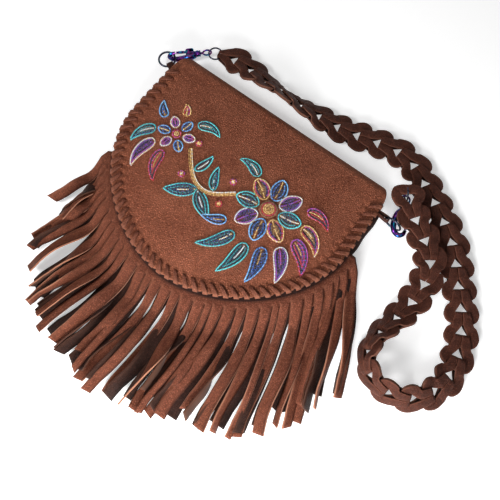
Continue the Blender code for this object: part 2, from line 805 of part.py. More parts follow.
def make_clasp(side, frame, metal, steel):
    """A swivel clasp: hook, gate on its pin, and the eye in its collar."""
    wide = CLASP_HALF_WIDTH
    reach = CLASP_REACH
    pivot = frame.point(GATE_PIVOT.x, GATE_PIVOT.y)
    path = [(0.0, 0.0), (COLLAR_LENGTH, 0.0)]
    path += [(reach * along, wide * across) for along, across, _ in HOOK_FORM]
    radii = [COLLAR_RADIUS, COLLAR_RADIUS] + [radius for _, _, radius in HOOK_FORM]
    hook = rod(f"{side}_clasp_hook", frame, path, radii, metal, frame.base)
    ears_low = (COLLAR_LENGTH - EAR_BACK, -EAR_LOW, -EAR_HALF_WIDTH)
    ears_high = (*(GATE_PIVOT + EAR_FRONT), EAR_HALF_WIDTH)
    combine(hook, block(f"{side}_ear_form", frame, ears_low, ears_high), "UNION")
    slot_low = (*(GATE_PIVOT - SLOT_BACK), -SLOT_HALF_WIDTH)
    slot_high = (*(GATE_PIVOT + SLOT_FRONT), SLOT_HALF_WIDTH)
    combine(hook, block(f"{side}_slot_form", frame, slot_low, slot_high), "DIFFERENCE")
    pin_length = 4 * EAR_HALF_WIDTH
    combine(hook, drum(f"{side}_ear_hole_form", frame, GATE_PIVOT, frame.through,
                       GATE_PIN_RADIUS + GAP, pin_length), "DIFFERENCE")
    combine(hook, drum(f"{side}_collar_bore_form", frame, (0.0, 0.0), frame.along,
                       EYE_STEM_RADIUS + RUNNING, 2 * (EYE_STEM_REACH + GAP)), "DIFFERENCE")

    gate_path = [tuple(GATE_PIVOT), (GATE_PIVOT.x + GATE_BEND.x, wide * GATE_BEND.y),
                 (reach * NOSE_SHARE - GATE_NOSE_GAP, wide * NOSE_ACROSS)]
    gate_radii = [GATE_ROOT_RADIUS, GATE_RADIUS, GATE_RADIUS]
    gate = rod(f"{side}_clasp_gate", frame, gate_path, gate_radii, metal, pivot)
    combine(gate, drum(f"{side}_gate_eye_form", frame, GATE_PIVOT, frame.through,
                       GATE_EYE_RADIUS, 2 * (SLOT_HALF_WIDTH - GAP)), "UNION")
    combine(gate, drum(f"{side}_gate_hole_form", frame, GATE_PIVOT, frame.through,
                       GATE_PIN_RADIUS + GAP, pin_length), "DIFFERENCE")
    pin = drum(f"{side}_gate_pin", frame, GATE_PIVOT, frame.through,
               GATE_PIN_RADIUS, 2 * EAR_HALF_WIDTH)
    pin.data.materials[0] = steel

    eye = make_ring(f"{side}_swivel_eye", frame.point(-EYE_OFFSET, 0.0), frame.through,
                    EYE_RADIUS, EYE_WIRE, metal, frame.base)
    stem_start = -EYE_OFFSET + EYE_RADIUS - EYE_WIRE * STEM_SINK
    stem_length = EYE_STEM_REACH - stem_start
    combine(eye, drum(f"{side}_stem_form", frame, (stem_start + stem_length / 2, 0.0),
                      frame.along, EYE_STEM_RADIUS, stem_length), "UNION")


def make_tab(name, wall, ring_center, upright, mat):
    """A strip of leather folded round a ring's wire and sewn to the side wall."""
    toward = Vector(ring_center) - Vector(wall)
    toward.z = 0.0
    out = toward.normalized()
    wire = Vector(ring_center) - out * BAG_RING_RADIUS
    bow = BAG_RING_RADIUS - math.sqrt(BAG_RING_RADIUS ** 2 - (TAB_WIDTH / 2) ** 2)
    bow += RUNNING
    seat = Vector(wall) + out * TAB_SEAT
    length = (wire - seat).dot(out) + bow
    across = Vector((0, 0, 1)) if not upright else out.cross(Vector((0, 0, 1)))
    broad = out.cross(across)
    inner = BAG_RING_WIRE + RUNNING
    outer = inner + TAB_THICKNESS
    start = wire - out * (length - bow)
    profile = [(0.0, -outer)]
    for k in range(TAB_BEND_STEPS + 1):
        turn = -math.pi / 2 + math.pi * k / TAB_BEND_STEPS
        profile.append((length + outer * math.cos(turn), outer * math.sin(turn)))
    profile.append((0.0, outer))
    profile.append((0.0, inner))
    for k in range(TAB_BEND_STEPS + 1):
        turn = math.pi / 2 - math.pi * k / TAB_BEND_STEPS
        profile.append((length + inner * math.cos(turn), inner * math.sin(turn)))
    profile.append((0.0, -inner))
    count = len(profile)
    points = []
    for sign in (-0.5, 0.5):
        points += [start + out * a + across * b + broad * (sign * TAB_WIDTH)
                   for a, b in profile]
    faces = [tuple(range(count)), tuple(range(2 * count - 1, count - 1, -1))]
    faces += [(k, (k + 1) % count, count + (k + 1) % count, count + k)
              for k in range(count)]
    return solid(name, points, faces, mat)


def side_wall(rim, y, right, height):
    """A point just outside the side wall at a height Y."""
    place = rim.where_y(y, right=right)
    out = rim.offset(place, -POUCH_INSET)
    return Vector((out.x, out.y, height))


def petals(center, radius, count, depth, turn):
    outline = []
    for k in range(count * PETAL_STEPS):
        angle = 2 * math.pi * k / (count * PETAL_STEPS)
        reach = radius * (1 - depth + depth * abs(math.cos(angle * count / 2)))
        outline.append(center + Vector((math.cos(angle + turn), math.sin(angle + turn))) * reach)
    return outline


def leaf(base, direction):
    """A leaf's two edges from its base to its point and back."""
    side = Vector((-direction.y, direction.x))
    near = []
    far = []
    for share in LEAF_SHARES:
        bulge = LEAF_WIDTH / 2 * math.sin(math.pi * share ** LEAF_TAPER)
        near.append(base + direction * (LEAF_LENGTH * share) + side * bulge)
        far.append(base + direction * (LEAF_LENGTH * share) - side * bulge)
    return near + [base + direction * LEAF_LENGTH] + far[::-1]


def make_beadwork(gold, teal, blue, violet):
    """A generic spray of a flower, a bud, a stem and leaves in raised beadwork."""
    level = FLAP_TOP + GAP
    flower_form = petals(FLOWER_CENTER, FLOWER_RADIUS, FLOWER_PETALS, FLOWER_DEPTH, FLOWER_TURN)
    flower = slab("bead_flower", flower_form, level, BEAD_HEIGHT, blue)
    center_form = petals(FLOWER_CENTER, CENTER_RADIUS, CENTER_PETALS, CENTER_DEPTH, 0.0)
    center = slab("bead_flower_center", center_form, level + BEAD_HEIGHT + GAP,
                  BEAD_HEIGHT, gold)
    bud_form = petals(BUD_CENTER, BUD_RADIUS, BUD_PETALS, BUD_DEPTH, BUD_TURN)
    bud = slab("bead_bud", bud_form, level, BEAD_HEIGHT, violet)
    start = BUD_CENTER + Vector((BUD_RADIUS, 0.0)) + STEM_BUD_END
    end = FLOWER_CENTER - Vector((FLOWER_RADIUS, 0.0)) + STEM_FLOWER_END
    upper = []
    lower = []
    for share in np.linspace(0, 1, STEM_STEPS):
        middle = start.lerp(end, share)
        middle.y -= STEM_SAG * math.sin(math.pi * share)
        slope = end - start
        slope.y -= STEM_SAG * math.pi * math.cos(math.pi * share)
        normal = Vector((-slope.y, slope.x)).normalized() * (STEM_WIDTH / 2)
        upper.append(middle + normal)
        lower.append(middle - normal)
    stem = slab("bead_stem", upper + lower[::-1], level, BEAD_HEIGHT, gold)
    root = start.lerp(end, 0.5) - Vector((0.0, STEM_SAG + STEM_WIDTH / 2 + LEAF_GAP))
    right_leaf = leaf(root, LEAF_DIRECTION)
    left_leaf = leaf(root, Vector((-LEAF_DIRECTION.x, LEAF_DIRECTION.y)))
    web = [root + Vector((0.0, LEAF_WEB))]
    leaves = slab("bead_leaves", left_leaf + right_leaf + web, level, BEAD_HEIGHT, teal)
    for made in (flower, center, bud, stem, leaves):
        shift_origin(made, HINGE)


def shift_origin(made, origin):
    made.data.transform(Matrix.Translation(made.location - Vector(origin)))
    made.location = origin


def main():
    clear_scene()
    leather = material("leather", LEATHER, 0.6)
    fringe_leather = material("fringe_leather", FRINGE_LEATHER, 0.7)
    strap_leather = material("strap_leather", STRAP_LEATHER, 0.65)
    lace = material("lace_leather", LACE_LEATHER, 0.55)
    metal = material("iridescent_metal", IRIDESCENT, 0.2, 1.0)
    dark = material("dark_metal", DARK_METAL, 0.3, 1.0)
    steel = material("steel", DARK_METAL, 0.3, 1.0)
    gold = material("gold_beads", GOLD, 0.3)
    teal = material("teal_beads", TEAL, 0.3)
    blue = material("blue_beads", BLUE, 0.3)
    violet = material("violet_beads", VIOLET, 0.3)

    rim = Rim(HINGE.y)
    make_back_panel(rim, leather)
    make_gusset(rim, leather)
    make_front_panel(rim, leather)
    make_flap(rim, leather)
    make_lacing(rim, lace)
    back_floor = GAP
    front_floor = back_floor + FRINGE_THICKNESS + 2 * GAP
    Fringe(rim, "fringe_back", BACK_FRINGE_BOTTOM, back_floor, BACK_FRINGE_SHIFT,
           TIP_RADIUS - BACK_FRINGE_SHORTER, fringe_leather).build()
    Fringe(rim, "fringe_front", FRONT_FRINGE_BOTTOM, front_floor, 0,
           TIP_RADIUS, fringe_leather).build()
    make_beadwork(gold, teal, blue, violet)

    left = Frame(LEFT_CLASP_BASE, LEFT_CLASP_TIP, (0, 0, 1))
    right = Frame(RIGHT_CLASP_BASE, RIGHT_CLASP_TIP, (1, 0.4, 0))
    make_clasp("left", left, metal, steel)
    make_clasp("right", right, metal, steel)
    left_wall = side_wall(rim, LEFT_TAB_Y, False, LEFT_BAG_RING_CENTER.z)
    right_wall = side_wall(rim, RIGHT_TAB_Y, True, RIGHT_BAG_RING_CENTER.z)
    make_tab("left_ring_tab", left_wall, LEFT_BAG_RING_CENTER, False, leather)
    make_tab("right_ring_tab", right_wall, RIGHT_BAG_RING_CENTER, True, leather)
    make_ring("left_bag_ring", LEFT_BAG_RING_CENTER, (0, 0, 1), BAG_RING_RADIUS,
              BAG_RING_WIRE, dark)
    right_plane = (RIGHT_BAG_RING_CENTER - right_wall).cross(Vector((0, 0, 1)))
    make_ring("right_bag_ring", RIGHT_BAG_RING_CENTER, right_plane, BAG_RING_RADIUS,
              BAG_RING_WIRE, dark)

    route = Route(STRAP_ROUTE)
    pitch = (route.lengths[-1] - STRAP_RING_REACH - STRAP_RING_RADIUS) / (LINK_COUNT - 1)
    for k in range(LINK_COUNT):
        make_link(k + 1, route, pitch * k, pitch, strap_leather)
    first, first_along, _, first_normal = route.frame(0.0)
    first_center = first - first_along * (STRAP_RING_RADIUS - STRAP_RING_HOLD)
    make_ring("left_strap_ring", first_center, first_normal, STRAP_RING_RADIUS,
              STRAP_RING_WIRE, dark)
    last_start = pitch * (LINK_COUNT - 1)
    last_center, _, last_side, last_up = route.frame(last_start + STRAP_RING_REACH)
    last_center -= last_up * STRAP_RING_DROP
    make_ring("right_strap_ring", last_center, last_side, RIGHT_STRAP_RING_RADIUS,
              STRAP_RING_WIRE, dark)


if __name__ == "__main__":
    main()
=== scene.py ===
"""The looks of a fringed leather bag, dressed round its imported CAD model.

Metres, +Z up, in the CAD model's own frame: X along the bag's folded top edge,
Y towards the strap, Z up off the ground that the bag lies on.
"""
import json
import logging
import math
from collections.abc import Callable, Iterable, Iterator, Sequence
from contextlib import contextmanager
from dataclasses import dataclass, field
from enum import Enum

import bpy
import numpy as np
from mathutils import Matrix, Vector


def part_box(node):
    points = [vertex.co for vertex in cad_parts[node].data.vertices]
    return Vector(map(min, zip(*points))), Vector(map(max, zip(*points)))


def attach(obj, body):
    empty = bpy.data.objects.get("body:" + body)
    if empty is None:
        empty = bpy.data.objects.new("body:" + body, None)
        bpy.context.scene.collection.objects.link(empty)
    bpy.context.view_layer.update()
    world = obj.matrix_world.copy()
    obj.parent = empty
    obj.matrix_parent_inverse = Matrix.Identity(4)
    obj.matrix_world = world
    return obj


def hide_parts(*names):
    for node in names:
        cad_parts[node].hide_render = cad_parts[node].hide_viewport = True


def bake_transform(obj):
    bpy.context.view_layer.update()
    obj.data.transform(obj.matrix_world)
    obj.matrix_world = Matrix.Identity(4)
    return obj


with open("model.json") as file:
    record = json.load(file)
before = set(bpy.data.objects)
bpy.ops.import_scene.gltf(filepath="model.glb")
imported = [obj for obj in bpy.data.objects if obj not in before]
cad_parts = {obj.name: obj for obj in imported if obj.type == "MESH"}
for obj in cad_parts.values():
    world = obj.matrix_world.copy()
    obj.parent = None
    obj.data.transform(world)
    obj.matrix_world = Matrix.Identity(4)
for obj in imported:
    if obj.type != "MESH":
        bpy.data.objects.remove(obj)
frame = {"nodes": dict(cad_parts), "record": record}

LOG = logging.getLogger("fringed_bag")
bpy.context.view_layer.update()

Array = np.ndarray
Piece = bpy.types.Object
Socket = bpy.types.NodeSocket
Colour = tuple[float, float, float]
Stops = tuple[tuple[float, Colour], ...]
Form = Callable[[Array, Array], Array]
Spot = tuple[Vector, Vector, Vector]
Rows = tuple[tuple[float, ...], ...]
Scheme = tuple[tuple["Thread", float, float], ...]


def smooth_step(share: Array | float) -> Array | float:
    """Eases a share from 0 to 1."""
    held = np.clip(share, 0.0, 1.0)
    return held * held * (3.0 - 2.0 * held)


def uneven(number: Array | float) -> Array | float:
    """A fixed uneven value between -1 and 1, the same one that the CAD strands use."""
    return np.sin(number * 12.9898 + 1.7) * np.cos(number * 4.1414)


def run_lengths(points: Array) -> Array:
    """How far along a line each of its points lies."""
    steps = np.linalg.norm(np.diff(points, axis=0), axis=1)
    return np.concatenate(([0.0], np.cumsum(steps)))


def follow(at: Array, lengths: Array, rows: Array) -> Array:
    """Rows of numbers read off between the given ones, at lengths along them."""
    return np.column_stack([np.interp(at, lengths, rows[:, k]) for k in range(rows.shape[1])])


def unit(rows: Array) -> Array:
    """Rows of numbers scaled to a length of one."""
    return rows / np.linalg.norm(rows, axis=1, keepdims=True)


def left_of(rows: Array) -> Array:
    """Flat directions turned a quarter to the left."""
    return np.column_stack([-rows[:, 1], rows[:, 0]])


def smooth_path(knots: Sequence[tuple[float, ...]], steps: int = 8) -> Array:
    """A smooth open path through rows of numbers.

    Args:
        knots: rows of numbers to pass through.
        steps: how many steps to take.

    Returns:
        Rows of the path.
    """
    table = np.array(knots, float)
    ends = np.vstack([2 * table[0] - table[1], table, 2 * table[-1] - table[-2]])
    dense = []
    for k in range(1, len(ends) - 2):
        a, b, c, d = ends[k - 1:k + 3]
        for t in np.linspace(0, 1, steps, endpoint=False):
            dense.append(0.5 * (2 * b + (c - a) * t + (2 * a - 5 * b + 4 * c - d) * t ** 2
                                + (3 * b - a - 3 * c + d) * t ** 3))
    dense.append(table[-1])
    return np.array(dense)


class Side(Enum):
    """The two ends of the bag's top edge."""

    LEFT = "left"
    RIGHT = "right"


class Layer(Enum):
    """The two layers of the fringe."""

    FRONT = "fringe_front"
    BACK = "fringe_back"


class Thread(Enum):
    """The colour families of the seed beads, with the record's slot for each."""

    GOLD = "gold_beads"
    TEAL = "teal_beads"
    BLUE = "blue_beads"
    VIOLET = "violet_beads"


# Bench: operators that act on one piece alone


class Bench:
    """Blender's own modelling operators, each used on one piece."""

    @staticmethod
    def clear() -> None:
        """Leaves edit mode and deselects everything."""
        if bpy.context.object and bpy.context.object.mode != "OBJECT":
            bpy.ops.object.mode_set(mode="OBJECT")
        bpy.ops.object.select_all(action="DESELECT")

    @staticmethod
    def take(piece: Piece) -> None:
        """Selects one piece and makes it the active one.

        Args:
            piece: the piece.
        """
        Bench.clear()
        piece.select_set(True)
        bpy.context.view_layer.objects.active = piece

    @staticmethod
    def name(piece: Piece, name: str) -> Piece:
        """Names a piece and its mesh.

        Args:
            piece: the piece.
            name: the name that both get.

        Returns:
            The same piece.
        """
        piece.name = name
        piece.data.name = name
        return piece

    @staticmethod
    def added(name: str) -> Piece:
        """Names the form that an operator has just added, and applies its place and turn."""
        bpy.ops.object.transform_apply(location=True, rotation=True, scale=True)
        return Bench.name(bpy.context.object, name)

    @staticmethod
    def grid(name: str, across: int, along: int, form: Form,
             wear: Form | None = None) -> Piece:
        """A grid whose points are moved to where a form puts them.

        Args:
            name: the piece's name.
            across: cells in the first direction.
            along: cells in the second direction.
            form: takes both shares from 0 to 1 and gives the points.
            wear: takes both shares and says how much each point is lightened, by real wear and
                painted highlight.

        Returns:
            The shaped grid.
        """
        Bench.clear()
        bpy.ops.mesh.primitive_grid_add(x_subdivisions=across, y_subdivisions=along, size=1.0)
        piece = Bench.name(bpy.context.object, name)
        shares = Bench.points(piece) + 0.5
        if wear:
            Bench.rub(piece, wear(shares[:, 0], shares[:, 1]))
        Bench.move(piece, form(shares[:, 0], shares[:, 1]))
        return piece

    @staticmethod
    def rub(piece: Piece, values: Array, mark: str = "wear") -> None:
        """Writes a mask on each point under its given name: real wear with painted highlight, or
        painted shade.
        """
        layer = piece.data.attributes.new(mark, "FLOAT", "POINT")
        layer.data.foreach_set("value", np.clip(values, 0, 1).astype(np.float32))

    @staticmethod
    def points(piece: Piece) -> Array:
        """A piece's points as an array of rows.

        Args:
            piece: the piece.

        Returns:
            One row for each point.
        """
        flat = np.empty(len(piece.data.vertices) * 3)
        piece.data.vertices.foreach_get("co", flat)
        return flat.reshape(-1, 3)

    @staticmethod
    def move(piece: Piece, points: Array) -> None:
        """Puts a piece's points where they are wanted."""
        piece.data.vertices.foreach_set("co", np.asarray(points, float).ravel())
        piece.data.update()

    @staticmethod
    @contextmanager
    def editing(piece: Piece, chosen: str = "SELECT") -> Iterator[None]:
        """Opens a piece in edit mode, with everything or nothing selected, and closes it again.

        Args:
            piece: the piece.
            chosen: what is selected at the start.

        Returns:
            A context in which the piece is open.
        """
        Bench.take(piece)
        bpy.ops.object.mode_set(mode="EDIT")
        bpy.ops.mesh.select_all(action=chosen)
        yield
        bpy.ops.object.mode_set(mode="OBJECT")

    @staticmethod
    def merge(piece: Piece, reach: float = 1e-5) -> None:
        """Merges doubled points."""
        with Bench.editing(piece):
            bpy.ops.mesh.remove_doubles(threshold=reach)

    @staticmethod
    def flip(piece: Piece) -> None:
        """Turns every face over."""
        with Bench.editing(piece):
            bpy.ops.mesh.flip_normals()

    @staticmethod
    def face_out(piece: Piece) -> None:
        """Turns the faces of a closed piece outwards."""
        with Bench.editing(piece):
            bpy.ops.mesh.normals_make_consistent(inside=False)

    @staticmethod
    def join(name: str, pieces: Sequence[Piece]) -> Piece:
        """Joins pieces in one mesh.

        Args:
            name: its name.
            pieces: the pieces, of which the first one is kept.

        Returns:
            The joined piece.
        """
        Bench.clear()
        for piece in pieces:
            piece.select_set(True)
        bpy.context.view_layer.objects.active = pieces[0]
        bpy.ops.object.join()
        return Bench.name(pieces[0], name)

    @staticmethod
    def bar(name: str, path: Array, radii: Array, detail: int = 4) -> Piece:
        """A round bar of changing radius along a path, with closed ends.

        Args:
            name: its name.
            path: points along its middle.
            radii: its radius at each point.
            detail: how finely it is rounded.

        Returns:
            The bar.
        """
        Bench.clear()
        line = bpy.data.curves.new(name, "CURVE")
        line.dimensions = "3D"
        spline = line.splines.new("POLY")
        spline.points.add(len(path) - 1)
        for point, place, radius in zip(spline.points, path, radii):
            point.co = (*place, 1.0)
            point.radius = radius
        line.bevel_depth = 1.0
        line.bevel_resolution = detail
        line.use_fill_caps = True
        piece = bpy.data.objects.new(name, line)
        bpy.context.collection.objects.link(piece)
        Bench.take(piece)
        bpy.ops.object.convert(target="MESH")
        piece = Bench.name(bpy.context.object, name)
        Bench.merge(piece, 1e-6)
        Bench.face_out(piece)
        return piece

    @staticmethod
    def lathe(name: str, profile: Array, around: int = 40) -> Piece:
        """A turned piece about X from a profile of (along, radius) points.

        Args:
            name: its name.
            profile: rows of a place along X and a radius.
            around: how many sides it has.

        Returns:
            The turned piece.
        """
        count = len(profile) - 1

        def form(across: Array, along: Array) -> Array:
            """Turns the profile's points about X.

            Args:
                across: shares across.
                along: shares along.

            Returns:
                One row for each point.
            """
            turn = 2 * math.pi * across
            run, reach = follow(along * count, np.arange(count + 1), profile).T
            return np.column_stack([run, reach * np.cos(turn), reach * np.sin(turn)])

        piece = Bench.grid(name, around, count, form)
        Bench.merge(piece, 1e-6)
        Bench.face_out(piece)
        return piece

    @staticmethod
    def modify(piece: Piece, kind: str, **settings: object) -> None:
        """Adds one modifier and applies it.

        Args:
            piece: the piece.
            kind: Blender's own name for the kind.
            settings: settings, by Blender's own names.
        """
        Bench.take(piece)
        change = piece.modifiers.new(kind.lower(), kind)
        for key, value in settings.items():
            setattr(change, key, value)
        bpy.ops.object.modifier_apply(modifier=change.name)

    @staticmethod
    def thicken(piece: Piece, thickness: float) -> None:
        """Gives a sheet its thickness: the second finish is its back's, the third its edge's."""
        Bench.modify(piece, "SOLIDIFY", thickness=thickness, offset=0.0,
                     use_even_offset=False, material_offset=1, material_offset_rim=2)

    @staticmethod
    def round_over(piece: Piece) -> None:
        """Rounds a piece with a subdivision surface."""
        Bench.modify(piece, "SUBSURF", levels=1, render_levels=1)

    @staticmethod
    def smooth(piece: Piece) -> None:
        """Shades a piece smooth."""
        Bench.take(piece)
        bpy.ops.object.shade_smooth()

    @staticmethod
    def dress(piece: Piece, *finishes: bpy.types.Material) -> None:
        """Gives a piece its materials, in slot order.

        Args:
            piece: the piece.
            finishes: its materials.
        """
        piece.data.materials.clear()
        for finish in finishes:
            piece.data.materials.append(finish)

    @staticmethod
    def sheet(piece: Piece, thickness: float, *finishes: bpy.types.Material) -> None:
        """Makes a leather sheet: its grain, flesh and edge finishes, its thickness and shading.

        Args:
            piece: the piece.
            thickness: how thick it becomes.
            finishes: the grain's, the back's and the edge's.
        """
        Bench.dress(piece, *finishes)
        Bench.thicken(piece, thickness)
        Bench.smooth(piece)

    @staticmethod
    def settle(piece: Piece, body: str, slot: str, *nodes: str) -> None:
        """Rides a piece on its body and hides the nodes it stands for.

        Args:
            piece: the piece.
            body: the body to ride on.
            slot: not used.
            nodes: the nodes that it stands for.
        """
        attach(piece, body)
        if nodes:
            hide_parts(*nodes)
        LOG.info("%s: %d faces on %s", piece.name, len(piece.data.polygons), body)


# Finishes


class Graph:
    """A node tree with short ways to add and join nodes."""

    def __init__(self, tree: bpy.types.NodeTree) -> None:
        """Keeps the tree."""
        self.tree = tree

    def put(self, value: object, socket: Socket) -> None:
        """Links a socket's value, or sets it, with a colour's missing alpha added.

        Args:
            value: the value or socket.
            socket: the socket.
        """
        if isinstance(value, Socket):
            self.tree.links.new(value, socket)
        elif isinstance(value, tuple) and len(value) < len(socket.default_value):
            socket.default_value = (*value, 1.0)
        else:
            socket.default_value = value

    def add(self, kind: str, inputs: dict[str | int, object] | None = None,
            **settings: object) -> bpy.types.Node:
        """Adds a node with its settings and the values or links of its inputs.

        Args:
            kind: Blender's own name for the kind.
            inputs: values or sockets for its inputs.
            settings: settings, by Blender's own names.

        Returns:
            The node.
        """
        node = self.tree.nodes.new(kind)
        for key, value in settings.items():
            setattr(node, key, value)
        for key, value in (inputs or {}).items():
            self.put(value, node.inputs[key])
        return node

    def ramp(self, share: Socket, stops: Stops) -> Socket:
        """A colour ramp through the given stops.

        Args:
            share: the value that picks the colour.
            stops: places and their colours.

        Returns:
            The colour.
        """
        node = self.add("ShaderNodeValToRGB", {"Fac": share})
        table = node.color_ramp.elements
        while len(table) < len(stops):
            table.new(1.0)
        for element, (place, colour) in zip(table, stops):
            element.position = place
            element.color = (*colour, 1.0)
        return node.outputs["Color"]

    def math(self, operation: str, first: object, second: object = 0.0,
             clamp: bool = False) -> Socket:
        """One maths node."""
        return self.add("ShaderNodeMath", {0: first, 1: second}, operation=operation,
                        use_clamp=clamp).outputs[0]

    def mix(self, share: object, first: object, second: object,
            blend: str = "MIX") -> Socket:
        """One colour mix."""
        return self.add("ShaderNodeMix", {0: share, 6: first, 7: second}, data_type="RGBA",
                        blend_type=blend).outputs[2]

    def spread(self, share: object, low: float, high: float) -> Socket:
        """Maps a share from 0 to 1 onto a range."""
        return self.add("ShaderNodeMapRange", {0: share, 3: low, 4: high}).outputs[0]

    def noise(self, place: Socket, scale: object, detail: float,
              roughness: float = 0.5, distortion: float = 0.0) -> Socket:
        """The value of a noise texture.

        Args:
            place: where it lies.
            scale: how fine the noise is.
            detail: how finely it is rounded.
            roughness: how rough its finer part is.
            distortion: how far it is distorted.

        Returns:
            The noise.
        """
        inputs = {"Vector": place, "Scale": scale, "Detail": detail, "Roughness": roughness,
                  "Distortion": distortion}
        return self.add("ShaderNodeTexNoise", inputs).outputs["Fac"]

    def bump(self, strength: float, distance: float, height: Socket
             ) -> Socket:
        """The normal of a surface with a small relief."""
        inputs = {"Strength": strength, "Distance": distance, "Height": height}
        return self.add("ShaderNodeBump", inputs).outputs["Normal"]

    def mark(self, name: str) -> Socket:
        """The value of an attribute that is written on the mesh."""
        return self.add("ShaderNodeAttribute", attribute_name=name).outputs["Fac"]


class Dressing(Graph):
    """A material's own graph, with its shader and the object's coordinates."""

    def __init__(self, name: str) -> None:
        """Starts the material.

        Args:
            name: its name.
        """
        self.material = bpy.data.materials.new(name)
        self.material.use_nodes = True
        super().__init__(self.material.node_tree)
        self.shader = self.tree.nodes["Principled BSDF"]
        self.place = self.add("ShaderNodeTexCoord").outputs["Object"]

    def finish(self, values: dict[str, object]) -> bpy.types.Material:
        """Sets or links the shader's inputs.

        Args:
            values: the values.

        Returns:
            The material.
        """
        for key, value in values.items():
            self.put(value, self.shader.inputs[key])
        return self.material


class Effects:
    """The shader groups that several finishes share, each built once."""

    def __init__(self) -> None:
        """Builds every group."""
        self.grain = self.build_grain()
        self.fibre = self.build_fibre()
        self.handling = self.build_handling()

    @staticmethod
    def start(name: str, takes: Iterable[tuple[str, str, object]], gives: Iterable[tuple[str, str]]
              ) -> tuple[Graph, bpy.types.bpy_prop_collection, bpy.types.bpy_prop_collection]:
        """Opens a group with its named inputs and outputs.

        Args:
            name: the group's name.
            takes: label, kind and value of each input.
            gives: label and kind of each output.

        Returns:
            The graph, and its inner ends.
        """
        tree = bpy.data.node_groups.new(name, "ShaderNodeTree")
        for label, kind, value in takes:
            socket = tree.interface.new_socket(label, in_out="INPUT", socket_type=kind)
            if value is not None:
                socket.default_value = value
        for label, kind in gives:
            tree.interface.new_socket(label, in_out="OUTPUT", socket_type=kind)
        graph = Graph(tree)
        return graph, graph.add("NodeGroupInput").outputs, graph.add("NodeGroupOutput").inputs

    @staticmethod
    def build_grain() -> bpy.types.NodeTree:
        """Pebbled leather grain: its height, painted shade along the creases between pebbles, slow
        drift, and pale speckle as painted glints.

        Returns:
            The group.
        """
        graph, takes, gives = Effects.start(
            "leather grain",
            (("Place", "NodeSocketVector", None), ("Pebble Scale", "NodeSocketFloat", 900.0),
             ("Crease Scale", "NodeSocketFloat", 60.0), ("Drift Scale", "NodeSocketFloat", 20.0)),
            (("Height", "NodeSocketFloat"), ("Pebble Edge Shade", "NodeSocketFloat"),
             ("Drift", "NodeSocketFloat"), ("Speckle", "NodeSocketFloat")))
        place = takes["Place"]
        warp = graph.add("ShaderNodeTexNoise", {"Vector": place, "Scale": 420.0, "Detail": 2.0})
        shift = graph.add("ShaderNodeVectorMath", {0: warp.outputs["Color"], 1: (0.0012,) * 3},
                          operation="MULTIPLY")
        warped = graph.add("ShaderNodeVectorMath", {0: place, 1: shift.outputs[0]})
        cells = graph.add("ShaderNodeTexVoronoi",
                          {"Vector": warped.outputs[0], "Scale": takes["Pebble Scale"]},
                          feature="DISTANCE_TO_EDGE")
        pebble = graph.math("MULTIPLY", cells.outputs["Distance"], 3.0, True)
        crease = graph.noise(place, takes["Crease Scale"], 6.0, 0.62, 0.6)
        drift = graph.noise(place, takes["Drift Scale"], 5.0, 0.6)
        speckle = graph.noise(place, 430.0, 2.5, 0.6)
        graph.put(graph.math("ADD", graph.math("MULTIPLY", pebble, 0.6),
                             graph.math("MULTIPLY", crease, 1.1)), gives["Height"])
        # Painted shade: darkest along the creases between the pebbles.
        graph.put(graph.math("SUBTRACT", 1.0, pebble), gives["Pebble Edge Shade"])
        # Painted glints: sparse pale speckle.
        graph.put(graph.math("MULTIPLY", graph.math("SUBTRACT", speckle, 0.42), 4.0, True),
                  gives["Speckle"])
        graph.put(graph.spread(graph.math("SUBTRACT", drift, 0.28), 0.0, 2.2), gives["Drift"])
        return graph.tree

    @staticmethod
    def build_fibre() -> bpy.types.NodeTree:
        """The nap of leather's flesh side and of its cut edges.

        Returns:
            The group.
        """
        graph, takes, gives = Effects.start(
            "leather fibre",
            (("Place", "NodeSocketVector", None), ("Scale", "NodeSocketFloat", 1500.0)),
            (("Height", "NodeSocketFloat"), ("Nap", "NodeSocketFloat")))
        fine = graph.noise(takes["Place"], takes["Scale"], 6.0, 0.75)
        patch = graph.noise(takes["Place"], 70.0, 4.0)
        graph.put(fine, gives["Height"])
        graph.put(graph.math("MULTIPLY", graph.math("MULTIPLY", fine, patch), 3.2, True),
                  gives["Nap"])
        return graph.tree

    @staticmethod
    def build_handling() -> bpy.types.NodeTree:
        """Marks of use and painted highlight: a colour lightened towards the rubbed one by a mask
        that grime breaks up; the mask is real wear on most pieces and painted highlight on the
        fringe strands and the strap's edges.

        Returns:
            The group.
        """
        graph, takes, gives = Effects.start(
            "handling",
            (("Colour", "NodeSocketColor", None), ("Rubbed", "NodeSocketColor", None),
             ("Wear And Highlight", "NodeSocketFloat", 0.0), ("Place", "NodeSocketVector", None)),
            (("Colour", "NodeSocketColor"),))
        broken = graph.noise(takes["Place"], 240.0, 5.0, 0.7)
        mask = graph.math("MULTIPLY", takes["Wear And Highlight"], graph.spread(broken, 0.2, 1.3), True)
        graph.put(graph.mix(mask, takes["Colour"], takes["Rubbed"]), gives["Colour"])
        return graph.tree


def scaled(colour: Colour, factor: float) -> Colour:
    """A colour made paler or darker."""
    return tuple(min(1.0, factor * part) for part in colour)


